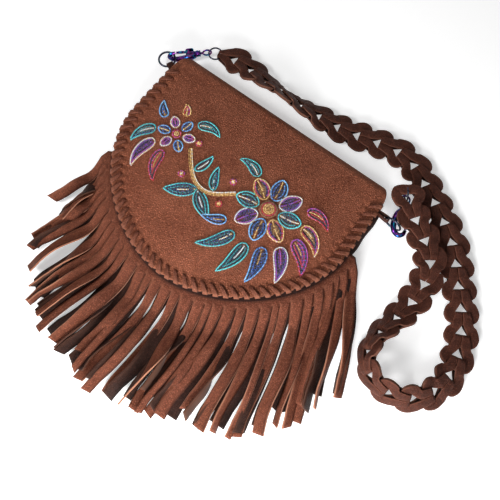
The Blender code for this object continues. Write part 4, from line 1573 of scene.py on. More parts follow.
@dataclass
class Fringe:
    """One layer of fringe: a band of leather in the seam, cut into strands."""

    shape: FlapShape
    layer: Layer
    band_inset: float = 0.013
    slit_margin: float = 0.0075
    strand_pitch: float = 0.0102
    strand_width: float = 0.0102
    under_width: float = 0.0124
    thickness: float = 0.0015
    left_y: float = -0.030
    right_y: float = 0.025
    tip_center: tuple[float, float] = (0.030, -0.058)
    tip_radius: float = 0.172
    tip_left: float = math.radians(194.0)
    tip_right: float = math.radians(350.0)
    tip_variation: float = 0.004
    tip_spread: float = 0.55
    short: float = 0.024
    bow: float = 0.0045
    lip_drop: float = 0.0050
    fall: float = 0.030
    sway: float = 0.0050
    wave: float = 0.0030
    twist: float = 0.9
    half_turn: float = 1.1
    odd_lift: float = 0.0024
    loose_lift: float = 0.0012
    hump: float = 0.0026
    cup: float = 0.0009
    # The strands whose uneven value passes this are cut short.
    short_above: float = 0.42
    # How much flatter the layer that is pressed by the other one lies.
    under_lift: float = 0.45
    under_hump: float = 0.4
    # How much longer or shorter the strands hang, by their share of the way round.
    lengths: Rows = (
        (0.0, 0.006), (0.05, -0.010), (0.09, 0.010), (0.33, 0.009), (0.39, 0.001),
        (0.46, -0.001), (0.51, -0.006), (0.57, -0.010), (0.65, -0.010), (0.72, -0.005),
        (0.78, 0.0), (0.90, 0.002), (0.95, 0.0), (1.0, 0.008))
    cut_variation: float = 0.27
    # How strongly one side of each strand gets a painted highlight, and the other side painted
    # shade.
    wear: float = 0.45
    burnish: float = 0.7
    cells: int = 4
    band_rows: int = 6
    rows: int = 44

    def __post_init__(self) -> None:
        """Takes the layer's heights from the CAD frame."""
        low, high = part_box(self.layer.value)
        self.floor = low.z
        self.bottom = high.z - self.thickness
        self.front = self.layer is Layer.FRONT
        self.full = self.strand_width if self.front else self.under_width
        self.reach = self.tip_radius if self.front else self.tip_radius - 0.006
        self.number_shift = 0 if self.front else 50
        rim = self.shape.rim
        self.start = rim.where_y(self.left_y, Side.LEFT)
        self.end = rim.where_y(self.right_y, Side.RIGHT)
        self.count = round((self.end - self.start) / self.strand_pitch)
        inner = np.arange(1, self.count)
        inner = inner + self.cut_variation * uneven(inner * 1.9 + 5 + self.number_shift)
        self.cuts = np.concatenate(([0.0], inner, [self.count]))

    def root(self, position: float, outwards: float) -> Array:
        """A point of the band, at a strand number and a distance from the flap's edge."""
        place = self.start + (self.end - self.start) * position / self.count
        return self.shape.rim.offset(np.array([place]), outwards)[0]

    def tip(self, position: float, longer: float) -> Array:
        """Where a strand ends.

        Args:
            position: a strand's number, with its share.
            longer: how much longer the strand is.

        Returns:
            A point.
        """
        share = position / self.count
        angle = self.tip_left + (self.tip_right - self.tip_left) * share
        places, changes = zip(*self.lengths)
        reach = self.reach + longer + float(np.interp(share, places, changes))
        return np.array(self.tip_center) + reach * np.array([math.cos(angle), math.sin(angle)])

    def strand(self, number: int, across: Array, distance: Array) -> Array:
        """Places one strand's points.

        Args:
            number: the strand, from the left.
            across: shares from -0.5 to 0.5 of its width.
            distance: shares from 0 at the slit to 1 at the tip.

        Returns:
            One row for each point.
        """
        first, last = self.cuts[number], self.cuts[number + 1]
        middle = (first + last) / 2
        key = number + self.number_shift
        sway, curl, pick = uneven(key * 1.7 + 3), uneven(key * 2.3 + 9), uneven(key * 0.9 + 21)
        longer = self.tip_variation * uneven(key)
        if uneven(key * 3.7 + 11) > self.short_above:
            longer -= self.short * (1 + sway) / 2
        root = self.root(middle, self.slit_margin)
        tip = self.tip(middle + self.tip_spread * uneven(key * 5.1 + 2), longer)
        span = tip - root
        length = float(np.linalg.norm(span))
        along = span / length
        side = np.array([-along[1], along[0]])
        left, right = self.root(first, self.slit_margin), self.root(last, self.slit_margin)
        run = distance * length
        wander = self.sway * sway * np.sin(math.pi * distance * (0.9 + 0.35 * curl)) * distance
        wander += self.wave * curl * np.sin(2.4 * math.pi * distance + 3 * pick) * distance
        wander += self.bow * np.sin(math.pi * np.clip(distance * 1.15, 0, 1))
        full = self.full * (last - first)
        slant = 0.5 * uneven(number + 31) * full / 2 / length
        over = distance * (1 + slant * 2 * across * smooth_step((distance - 0.9) / 0.1))
        open_width = np.linalg.norm(right - left)
        share = smooth_step(distance / 0.12)
        neck = 1 - (0.20 + 0.12 * curl) * np.exp(-((distance - 0.24) / 0.13) ** 2)
        width = (open_width * (1 - share) + full * (1 - 0.03 * (1 + pick)) * share) * neck
        twist = self.twist * curl * smooth_step((distance - 0.2) / 0.6)
        if pick > 0.35:
            turned = self.half_turn * math.copysign(1, sway)
            twist = twist + turned * smooth_step((distance - 0.3) / 0.5)
        eased = 1 - smooth_step(run / self.fall)
        odd = 1.0 if number % 2 else 0.0
        stack = self.odd_lift * odd + self.loose_lift * (1 + pick)
        stack = stack * smooth_step((run - 0.02) / 0.03)
        stack = stack * (1.0 if self.front else self.under_lift)
        start = self.bottom - self.lip_drop - self.floor
        center = self.floor + self.thickness / 2 + start * eased + stack
        hump = np.sin(math.pi * np.clip((distance - 0.3) / 0.6, 0, 1)) ** 2
        hump = self.hump * (1 + sway) * hump * (1.0 if self.front else self.under_hump)
        cupped = self.cup if pick > 0 else -self.cup
        cup = cupped * (1 - (2 * across) ** 2) * smooth_step(distance / 0.3)
        offset = across * width
        flat = offset * np.cos(twist)
        raised = offset * np.sin(twist)
        clear = np.abs(np.sin(twist)) * width / 2
        base = root + np.outer(over * length, along)
        base += np.outer(wander + flat, side)
        z = np.maximum(center + hump + clear + raised + cup, self.floor + self.thickness / 2)
        return np.column_stack([base, z])

    def build(self, finishes: Finishes) -> Piece:
        """Cuts a band into strands, lays them out and gives them their thickness.

        Args:
            finishes: the bag's finishes.

        Returns:
            The built piece.
        """
        columns = self.count * self.cells
        total = self.band_rows + self.rows
        Bench.clear()
        bpy.ops.mesh.primitive_grid_add(x_subdivisions=columns, y_subdivisions=total, size=1.0)
        piece = Bench.name(bpy.context.object, f"{self.layer.value}_leather")
        self.slit(piece, columns, total)
        points = Bench.points(piece)
        across = np.interp((points[:, 0] + 0.5) * self.count, np.arange(self.count + 1), self.cuts)
        row = (points[:, 1] + 0.5) * total
        number = np.zeros(len(points), int)
        for face in piece.data.polygons:
            number[list(face.vertices)] = min(int((face.center.x + 0.5) * self.count),
                                              self.count - 1)
        rim = self.shape.rim
        share = np.clip(row / self.band_rows, 0, 1)
        outwards = -self.band_inset + (self.band_inset + self.slit_margin) * share
        place = self.start + (self.end - self.start) * across / self.count
        flat = rim.offset(place, outwards)
        level = self.bottom + self.thickness / 2
        lip = self.lip_drop * smooth_step((outwards + 0.0045) / 0.0055)
        placed = np.column_stack([flat, level - lip])
        start_z = level - self.lip_drop
        hanging = row > self.band_rows - 1e-6
        for strand in range(self.count):
            mine = hanging & (number == strand)
            first, last = self.cuts[strand], self.cuts[strand + 1]
            local = (across[mine] - first) / (last - first) - 0.5
            distance = (row[mine] - self.band_rows) / self.rows
            laid = self.strand(strand, local, distance)
            blend = smooth_step(distance / 0.08)[:, None]
            straight = np.column_stack([flat[mine], np.full(mine.sum(), start_z)])
            drift = laid - self.strand(strand, local, np.zeros(mine.sum()))
            placed[mine] = (straight + drift) * (1 - blend) + laid * blend
        Bench.move(piece, placed)
        first, last = self.cuts[number], self.cuts[number + 1]
        lean = 2 * (across - first) / (last - first) - 1
        # Painted highlight: one side of each hanging strand is lightened.
        lightened = np.where(hanging, self.wear * np.clip(-lean, 0, 1) ** 3, 0.0)
        Bench.rub(piece, lightened)
        # Painted shadow on the band under the flap's lip, and painted shade on the other side of
        # each strand.
        under = 1 - smooth_step((outwards - 0.0012) / 0.003)
        painted_shade_marks = np.where(hanging, self.burnish * np.clip(lean, 0, 1) ** 5, under)
        Bench.rub(piece, painted_shade_marks, "burnish")
        Bench.merge(piece, 1e-6)
        Bench.flip(piece)
        # The back layer and its edges are near-black: painted shade between the front strands.
        grain = finishes.fringe if self.front else finishes.shaded_under_fringe
        edge = finishes.fringe_edge if self.front else finishes.shaded_fringe_suede
        Bench.sheet(piece, self.thickness, grain, finishes.shaded_fringe_suede, edge)
        Bench.settle(piece, "root", "fringe_leather", self.layer.value)
        return piece

    def slit(self, piece: Piece, columns: int, rows: int) -> None:
        """Splits the grid between its strands, below the band.

        Args:
            piece: the piece.
            columns: how many columns the grid has.
            rows: how many rows the grid has.
        """
        with Bench.editing(piece, "DESELECT"):
            bpy.ops.mesh.select_mode(type="EDGE")
        points = Bench.points(piece)
        for edge in piece.data.edges:
            first, second = (points[v] for v in edge.vertices)
            if abs(first[0] - second[0]) > 1e-6:
                continue
            column = (first[0] + 0.5) * columns
            row = (min(first[1], second[1]) + 0.5) * rows
            between = round(column) % self.cells == 0 and 0.5 < column < columns - 0.5
            edge.select = between and row > self.band_rows - 0.5
        bpy.ops.object.mode_set(mode="EDIT")
        bpy.ops.mesh.edge_split(type="EDGE")
        bpy.ops.mesh.select_mode(type="VERT")
        bpy.ops.object.mode_set(mode="OBJECT")


@dataclass
class Route:
    """The strap's centre line, with its height and twist."""

    link_half_width: float
    link_half_height: float
    lift: float = 0.0004
    samples: int = 12
    # Each point is x, y, how far the strap is lifted by what it lies on, and its twist.
    points: Rows = (
        (-0.1077, 0.1270, 0.0052, 0), (-0.088, 0.1325, 0.0040, 4),
        (-0.066, 0.1320, 0.0015, 18), (-0.044, 0.129, 0, 38), (-0.022, 0.128, 0, 50),
        (0.000, 0.128, 0, 40), (0.020, 0.131, 0, 22), (0.042, 0.134, 0, 8),
        (0.064, 0.139, 0, 0), (0.086, 0.145, 0, 0), (0.108, 0.149, 0, 0),
        (0.130, 0.147, 0, 0), (0.150, 0.138, 0, 0), (0.170, 0.126, 0, 0),
        (0.190, 0.113, 0, 0), (0.207, 0.100, 0, 0), (0.222, 0.084, 0, 0),
        (0.236, 0.067, 0, 0), (0.250, 0.049, 0, 0), (0.262, 0.030, 0, 0),
        (0.271, 0.010, 0, 4), (0.276, -0.011, 0, 14), (0.274, -0.033, 0, 30),
        (0.263, -0.053, 0, 46), (0.244, -0.064, 0, 58), (0.222, -0.064, 0, 64),
        (0.205, -0.051, 0, 64), (0.201, -0.030, 0, 56), (0.205, -0.008, 0, 40),
        (0.209, 0.014, 0.001, 22), (0.210, 0.036, 0.005, 8), (0.206, 0.057, 0.0076, 0),
        (0.194, 0.074, 0.0080, 0), (0.1768, 0.0862, 0.0096, 0),
        (0.1597, 0.0972, 0.0112, 0), (0.146, 0.110, 0.0122, 0), (0.139, 0.119, 0.0124, 0))

    def __post_init__(self) -> None:
        """Draws the smooth line through the points."""
        table = smooth_path(self.points, self.samples)
        self.twist = np.radians(table[:, 3])
        drop = self.link_half_width * np.abs(np.sin(self.twist))
        drop += self.link_half_height * np.abs(np.cos(self.twist))
        self.centers = np.column_stack([table[:, :2], self.lift + drop + table[:, 2]])
        self.lengths = run_lengths(self.centers)
        self.directions = np.gradient(self.centers, self.lengths, axis=0)

    def place(self, start: float, local: Array) -> Array:
        """World points of a link's own (along, side, up) points.

        Args:
            start: where it starts.
            local: points in the link's own axes.

        Returns:
            One row for each point.
        """
        at = start + local[:, 0]
        center = follow(at, self.lengths, self.centers)
        along = unit(follow(at, self.lengths, self.directions))
        twist = np.interp(at, self.lengths, self.twist)[:, None]
        level = unit(np.cross(along, (0.0, 0.0, 1.0)))
        upright = np.cross(level, along)
        side = level * np.cos(twist) + upright * np.sin(twist)
        normal = upright * np.cos(twist) - level * np.sin(twist)
        return center + side * local[:, 1:2] + normal * local[:, 2:3]


@dataclass
class Strap:
    """The chain strap: leather rings, each folded over the one before it."""

    links: int = 34
    leg_width: float = 0.0096
    fold_width: float = 0.0066
    leg_gap: float = 0.0008
    thickness: float = 0.0014
    half_width: float = 0.01695
    clearance: float = 0.0006
    lobe: float = 0.0049
    shoulder: float = 0.0058
    shoulder_in: float = 0.0022
    shoulder_lean: tuple[float, float] = (-0.62, 0.86)
    first_leg_width: float = 0.0030
    ring_reach: float = 0.027
    ring_radius: float = 0.0071
    fold_bulge: float = 0.0014
    samples: int = 120
    edge_round: float = 0.00022

    def __post_init__(self) -> None:
        """Works out the levels of the strip and lays the route."""
        step = self.thickness + self.clearance
        self.band_level = step / 2
        self.leg_level = self.band_level + step
        self.route = Route(self.half_width, self.leg_level + self.thickness / 2)
        span = self.route.lengths[-1] - self.ring_reach - self.ring_radius
        self.pitch = span / (self.links - 1)

    def stations(self, number: int) -> Array:
        """The strip's stations round the link: along, side, level and half-width vector.

        Args:
            number: its number.

        Returns:
            One row for each station.
        """
        fold_leg = self.first_leg_width if number == 1 else self.fold_width
        near = fold_leg / 2 + self.leg_gap / 2
        full = self.leg_width / 2
        band = self.pitch + self.thickness / 2 + self.clearance + full - 0.0006
        outer = self.half_width - full
        front = self.thickness / 2 + self.clearance * 2 + self.leg_width
        lean_along, lean_side = self.shoulder_lean
        quarter = [
            (0.0, near, self.leg_level, 0.0, fold_leg / 2),
            (front * 0.5, near * 0.5 + (full + self.leg_gap) * 0.5, self.leg_level, 0.0,
             fold_leg / 4 + full / 2),
            (front, full + self.leg_gap, self.leg_level, 0.0, full),
            (front + self.shoulder, outer - self.shoulder_in, self.band_level,
             lean_along * full, lean_side * full),
            (band - self.lobe, outer, self.band_level, 0.0, full),
            (band - self.lobe * 0.29, outer - self.lobe * 0.29, self.band_level,
             full * 0.707, full * 0.707),
            (band, outer - self.lobe, self.band_level, full, 0.0),
            (band, 0.0, self.band_level, full, 0.0)]
        loop = []
        for side_sign, level_sign, order in ((1, 1, 1), (-1, 1, -1), (-1, -1, 1), (1, -1, -1)):
            turn = quarter if order == 1 else quarter[-2::-1]
            for along, side, level, wide_along, wide_side in turn:
                loop.append((along, side * side_sign, level * level_sign,
                             wide_along, wide_side * side_sign))
            if order == -1:
                loop.append((-self.fold_bulge, near * side_sign, 0.0, 0.0,
                             fold_leg / 2 * side_sign))
        return np.array(loop)

    @staticmethod
    def around(values: Array, samples: Array) -> Array:
        """A smooth closed curve through stations, sampled at shares of its length.

        Args:
            values: rows of the stations' numbers.
            samples: shares of the curve's length.

        Returns:
            One row for each sample.
        """
        ring = np.vstack([values, values[:1]])
        knots = run_lengths(ring[:, :3])
        total = knots[-1]
        before = np.concatenate(([knots[-2] - total], knots[:-1]))
        after = np.concatenate((knots[1:], [knots[1] + total]))
        previous = np.vstack([values[-1:], ring[:-1]])
        following = np.vstack([ring[1:], ring[1:2]])
        slope = (following - previous) / (after - before)[:, None]
        at = (samples % 1.0) * total
        index = np.clip(np.searchsorted(knots, at, side="right") - 1, 0, len(knots) - 2)
        width = (knots[index + 1] - knots[index])[:, None]
        t = ((at - knots[index])[:, None]) / width
        return ((2 * t ** 3 - 3 * t ** 2 + 1) * ring[index]
                + (t ** 3 - 2 * t ** 2 + t) * width * slope[index]
                + (-2 * t ** 3 + 3 * t ** 2) * ring[index + 1]
                + (t ** 3 - t ** 2) * width * slope[index + 1])

    def link(self, number: int) -> Piece:
        """Shapes one leather ring along the strap's route.

        Args:
            number: its number.

        Returns:
            The link's strip, without its thickness.
        """
        stations = self.stations(number)
        start = self.pitch * (number - 1)

        def form(across: Array, along: Array) -> Array:
            """Places the link's strip along the route.

            Args:
                across: shares across.
                along: shares along.

            Returns:
                One row for each point.
            """
            strip = Strap.around(stations, along)
            share = 2 * across - 1
            local = strip[:, :3].copy()
            local[:, 0] += strip[:, 3] * share
            local[:, 1] += strip[:, 4] * share + 0.0004 * uneven(number * 2.7 + 1)
            local[:, 2] += 0.0005 * np.sign(local[:, 2]) * (0.4 - share ** 2)
            return self.route.place(start, local)

        def rubbed(across: Array, _along: Array) -> Array:
            """Lightens the strip a little all over and most along its edges: real edge wear with a
            painted highlight on both edges.
            """
            return 0.1 + 0.7 * np.abs(2 * across - 1) ** 6

        piece = Bench.grid(f"strap_ring_{number:02d}", 8, self.samples, form, rubbed)
        Bench.merge(piece)
        return piece

    def build(self, finishes: Finishes) -> None:
        """Builds every ring of the strap.

        Args:
            finishes: the bag's finishes.
        """
        for number in range(1, self.links + 1):
            piece = self.link(number)
            Bench.dress(piece, finishes.strap, finishes.strap_suede, finishes.strap_edge)
            Bench.thicken(piece, self.thickness)
            Bench.modify(piece, "BEVEL", width=self.edge_round, segments=1,
                         limit_method="ANGLE", angle_limit=math.radians(50))
            Bench.smooth(piece)
            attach(piece, "root")
            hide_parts(f"strap_link_{number:02d}")
        LOG.info("strap: %d rings on root", self.links)


# Metal fittings


@dataclass
class RingPose:
    """Where a CAD ring lies: its centre, its normal and its size."""

    node: str

    def __post_init__(self) -> None:
        """Reads the ring from its node."""
        points = np.array([v.co for v in frame["nodes"][self.node].data.vertices])
        self.center = (points.max(axis=0) + points.min(axis=0)) / 2
        _, _, axes = np.linalg.svd(points - points.mean(axis=0), full_matrices=False)
        self.normal = axes[2]
        flat = points - self.center
        level = flat @ self.normal
        reach = np.linalg.norm(flat - np.outer(level, self.normal), axis=1)
        self.wire = (reach.max() - reach.min()) / 2
        self.radius = reach.max() - self.wire


@dataclass
class RoundRing:
    """A welded wire ring that stands for its CAD node."""

    node: str
    body: str
    weld_depth: float = 0.12
    # The swollen weld's half angle, and the middle and half width of the dips beside it.
    weld_half: float = 0.035
    dip_at: float = 0.11
    dip_half: float = 0.05

    def build(self, finish: bpy.types.Material) -> Piece:
        """Adds the ring, marks its weld and dresses it.

        Args:
            finish: its material.

        Returns:
            The ring.
        """
        pose = RingPose(self.node)
        turn = Vector((0, 0, 1)).rotation_difference(Vector(pose.normal)).to_euler()
        Bench.clear()
        bpy.ops.mesh.primitive_torus_add(
            location=tuple(pose.center), rotation=tuple(turn), major_radius=pose.radius,
            minor_radius=pose.wire, major_segments=72, minor_segments=18)
        piece = Bench.name(bpy.context.object, f"{self.node}_wire")
        points = Bench.points(piece)
        angle = np.arctan2(points[:, 1], points[:, 0])
        dips = np.exp(-((np.abs(angle) - self.dip_at) / self.dip_half) ** 2)
        weld = np.exp(-(angle / self.weld_half) ** 2) - 0.5 * dips
        core = np.column_stack([np.cos(angle), np.sin(angle), np.zeros(len(angle))]) * pose.radius
        Bench.move(piece, core + (points - core) * (1 - self.weld_depth * weld[:, None]))
        bpy.ops.object.transform_apply(location=True, rotation=True, scale=True)
        Bench.smooth(piece)
        Bench.dress(piece, finish)
        Bench.settle(piece, self.body, "dark_metal", self.node)
        return piece


@dataclass
class Clasp:
    """A swivel clasp: hook body, gate on its pin, and the eye in its collar."""

    side: Side
    reach: float = 0.033
    half_width: float = 0.0062
    collar_length: float = 0.006
    collar_radius: float = 0.0036
    nose_share: float = 0.83
    gate_radius: float = 0.0015
    gate_gap: float = 0.0012
    ear_half: float = 0.0028
    ear_radius: float = 0.0026
    ear_back: float = 0.0038
    ear_low: float = 0.0030
    slot_half: float = 0.0016
    pin_radius: float = 0.0007
    eye_offset: float = 0.007
    eye_radius: float = 0.0045
    eye_wire: float = 0.001
    stem_radius: float = 0.0013
    stem_reach: float = 0.0045
    # Shares of the reach and of the half width, and the hook's radius there.
    hook_form: Rows = (
        (0.22, -0.17, 0.0042), (0.33, -0.62, 0.0041), (0.50, -0.95, 0.0036),
        (0.71, -1.02, 0.0031), (0.91, -0.76, 0.0028), (1.02, 0.00, 0.0026),
        (0.96, 0.72, 0.0022), (0.83, 0.98, 0.0017))

    def __post_init__(self) -> None:
        """Takes the clasp's axes from the model's joints."""
        joints = {j["name"]: j for j in frame["record"]["behaviour"]["joints"]}
        swivel = joints[f"{self.side.value}_swivel"]
        hinge = joints[f"{self.side.value}_gate_hinge"]
        self.base = np.array(swivel["pos_m"])
        self.along = np.array(swivel["axis"]) / np.linalg.norm(swivel["axis"])
        self.through = -np.array(hinge["axis"]) / np.linalg.norm(hinge["axis"])
        self.across = np.cross(self.through, self.along)
        apart = np.array(hinge["pos_m"]) - self.base
        self.pivot = (float(apart @ self.along), float(apart @ self.across))

    def put(self, piece: Piece) -> None:
        """Carries a piece from the clasp's own axes to the bag.

        Args:
            piece: the piece.
        """
        points = Bench.points(piece)
        axes = np.array([self.along, self.across, self.through])
        Bench.move(piece, self.base + points @ axes)
        Bench.face_out(piece)

    def hang(self, piece: Piece) -> None:
        """Stands a turned piece on the gate's own axis.

        Args:
            piece: the piece.
        """
        points = Bench.points(piece)
        x, y = self.pivot
        Bench.move(piece, np.column_stack([x + points[:, 1], y + points[:, 2], points[:, 0]]))

    def cheek(self, sign: float) -> Piece:
        """One of the two ears that hold the gate's pin.

        Args:
            sign: 1 or -1, for its side.

        Returns:
            The ear.
        """
        Bench.clear()
        depth = self.ear_half - self.slot_half
        bpy.ops.mesh.primitive_cylinder_add(
            vertices=24, radius=self.ear_radius, depth=depth,
            location=(self.pivot[0], self.pivot[1], sign * (self.slot_half + depth / 2)))
        ear = Bench.added("ear")
        points = Bench.points(ear)
        back = points[:, 0] < self.pivot[0]
        low = points[:, 1] < self.pivot[1]
        points[back, 0] -= self.ear_back
        points[low, 1] -= self.ear_low
        Bench.move(ear, points)
        Bench.modify(ear, "BEVEL", width=0.00035, segments=2, limit_method="ANGLE")
        return ear

    def hook(self) -> Piece:
        """The hook body with its turned collar and ears.

        Returns:
            The hook body.
        """
        knots = [(0.004, 0.0, 0.0030), (self.collar_length, 0.0, 0.0032)]
        knots += [(self.reach * a, self.half_width * b, r) for a, b, r in self.hook_form]
        path = smooth_path(knots)
        line = np.column_stack([path[:, :2], np.zeros(len(path))])
        body = Bench.bar("hook", line, path[:, 2], 5)
        radius = self.collar_radius
        bore = self.stem_radius + 0.0004
        profile = np.array([
            (0.0003, bore), (0.0, bore + 0.0003), (0.0, radius - 0.0012), (0.0003, radius - 0.0004),
            (0.0009, radius), (0.0016, radius - 0.0001), (0.0019, radius - 0.0006),
            (0.0022, radius - 0.0006), (0.0025, radius - 0.0001), (0.0038, radius),
            (0.0048, radius - 0.0002), (0.0052, radius - 0.0007), (0.0055, radius - 0.0007),
            (0.0058, radius - 0.0002), (0.0064, radius - 0.0004), (0.0072, radius - 0.0012),
            (0.0076, 0.0004), (0.0046, 0.0004), (0.0046, bore), (0.0003, bore)])
        collar = Bench.lathe("collar", profile, 40)
        return Bench.join("hook_body", [body, collar, self.cheek(1), self.cheek(-1)])

    def gate(self) -> Piece:
        """The gate with its turned eye.

        Returns:
            The gate.
        """
        x, y = self.pivot
        wide = self.half_width
        tip = self.reach * self.nose_share - self.gate_gap
        path = smooth_path([(x, y, 0.0013), (x + 0.006, wide * 0.93, self.gate_radius),
                            (tip - 0.004, wide * 0.97, self.gate_radius * 0.96),
                            (tip, wide * 0.97, self.gate_radius * 0.86)])
        line = np.column_stack([path[:, :2], np.zeros(len(path))])
        bar = Bench.bar("gate_bar", line, path[:, 2], 4)
        half = self.slot_half - 0.0003
        hole = self.pin_radius + 0.0003
        profile = np.array([(-half, hole), (-half, 0.0018), (-half + 0.0003, 0.0021),
                            (half - 0.0003, 0.0021), (half, 0.0018), (half, hole), (-half, hole)])
        eye = Bench.lathe("gate_eye", profile, 32)
        self.hang(eye)
        return Bench.join("gate_body", [bar, eye])

    def pin(self) -> Piece:
        """The gate's pin with domed ends.

        Returns:
            The pin.
        """
        half = self.ear_half
        radius = self.pin_radius
        profile = np.array([(-half, 0.0), (-half, radius * 0.6), (-half + 0.0002, radius * 0.95),
                            (-half + 0.0004, radius), (half - 0.0004, radius),
                            (half - 0.0002, radius * 0.95), (half, radius * 0.6), (half, 0.0)])
        piece = Bench.lathe("gate_pin", profile, 20)
        self.hang(piece)
        return piece

    def eye(self) -> Piece:
        """The eye and the stem that turns in the collar.

        Returns:
            The eye with its stem.
        """
        Bench.clear()
        bpy.ops.mesh.primitive_torus_add(
            location=(-self.eye_offset, 0, 0), major_radius=self.eye_radius,
            minor_radius=self.eye_wire, major_segments=56, minor_segments=16)
        ring = Bench.added("eye_ring")
        start = -self.eye_offset + self.eye_radius - self.eye_wire * 0.5
        end = self.stem_reach
        radius = self.stem_radius
        profile = np.array([(start, 0.0), (start, radius * 1.25), (start + 0.0005, radius * 1.3),
                            (start + 0.0012, radius), (end - 0.0005, radius),
                            (end, radius * 0.7), (end, 0.0)])
        return Bench.join("eye_body", [ring, Bench.lathe("stem", profile, 28)])

    def build(self, finishes: Finishes) -> None:
        """Builds the clasp's four pieces on their bodies.

        Args:
            finishes: the bag's finishes.
        """
        side = self.side.value
        parts = (("clasp_hook", self.hook(), "clasp", "iridescent_metal", finishes.iridescent),
                 ("clasp_gate", self.gate(), "gate", "iridescent_metal", finishes.iridescent),
                 ("gate_pin", self.pin(), "clasp", "steel", finishes.steel),
                 ("swivel_eye", self.eye(), "root", "iridescent_metal", finishes.iridescent))
        for node, piece, body, slot, finish in parts:
            self.put(piece)
            Bench.name(piece, f"{side}_{node}_metal")
            Bench.dress(piece, finish)
            Bench.smooth(piece)
            bpy.ops.object.shade_smooth_by_angle(angle=math.radians(40))
            Bench.settle(piece, body if body == "root" else f"{side}_{body}", slot,
                         f"{side}_{node}")


@dataclass
class Tab:
    """A strip of leather folded round a ring's wire and sewn to the side wall."""

    side: Side
    shape: FlapShape
    y: float = 0.079
    inset: float = 0.005
    width: float = 0.007
    seat: float = 0.0008
    thickness: float = 0.0015
    running: float = 0.0004

    def build(self, finishes: Finishes) -> Piece:
        """Folds the strip round the ring's wire.

        Args:
            finishes: the bag's finishes.

        Returns:
            The tab.
        """
        node = f"{self.side.value}_bag_ring"
        pose = RingPose(node)
        rim = self.shape.rim
        place = rim.where_y(self.y, self.side)
        wall = rim.offset(np.array([place]), -self.inset)[0]
        toward = pose.center[:2] - wall
        out = toward / np.linalg.norm(toward)
        upright = abs(pose.normal[2]) < 0.5
        broad = np.array([0.0, 0.0, 1.0]) if upright else np.array([-out[1], out[0], 0.0])
        across = np.array([-out[1], out[0], 0.0]) if upright else np.array([0.0, 0.0, 1.0])
        out3 = np.array([*out, 0.0])
        bow = pose.radius - math.sqrt(pose.radius ** 2 - (self.width / 2) ** 2) + self.running
        wire = pose.center - out3 * pose.radius
        start = np.array([*wall, pose.center[2]]) + out3 * self.seat
        length = float((wire - start) @ out3) + bow
        middle = pose.wire + self.running + self.thickness / 2

        def form(share: Array, run: Array) -> Array:
            """Folds the strip round the wire.

            Args:
                share: the share from 0 to 1.
                run: shares along.

            Returns:
                One row for each point.
            """
            bend = math.pi * middle
            total = 2 * length + bend
            distance = run * total
            turn = np.clip((distance - length) / middle, 0, math.pi)
            reach = np.where(distance < length, distance,
                             np.where(distance > length + bend, total - distance,
                                      length + middle * np.sin(turn)))
            level = -middle * np.cos(turn)
            pinch = 1 - 0.35 * np.exp(-((reach - length * 0.35) / (length * 0.4)) ** 2)
            spread = 1 + 0.05 * np.sin(reach * 900)
            wide = (share - 0.5) * self.width * spread
            level = level * np.where((distance < length) | (distance > length + bend), pinch, 1.0)
            return (start + np.outer(reach, out3) + np.outer(level, across)
                    + np.outer(wide, broad))

        piece = Bench.grid(f"{self.side.value}_tab_leather", 8, 40, form)
        Bench.dress(piece, finishes.strap, finishes.strap_suede, finishes.strap_suede)
        self.face_away(piece, start + out3 * length)
        Bench.thicken(piece, self.thickness)
        Bench.round_over(piece)
        Bench.smooth(piece)
        Bench.settle(piece, "root", "leather", f"{self.side.value}_ring_tab")
        return piece

    @staticmethod
    def face_away(piece: Piece, middle: Array) -> None:
        """Turns an open strip so that its faces point away from a point inside its fold.

        Args:
            piece: the piece.
            middle: a point inside the fold.
        """
        lean = sum(face.normal.dot(face.center - Vector(middle)) * face.area
                   for face in piece.data.polygons)
        if lean < 0:
            Bench.flip(piece)


# Beadwork


@dataclass
class BeadRow:
    """One threaded row of beads on the flap."""

    thread: Thread
    path: Array
    tones: tuple[float, float]
    raised: Callable[[Array], Array] | None = None


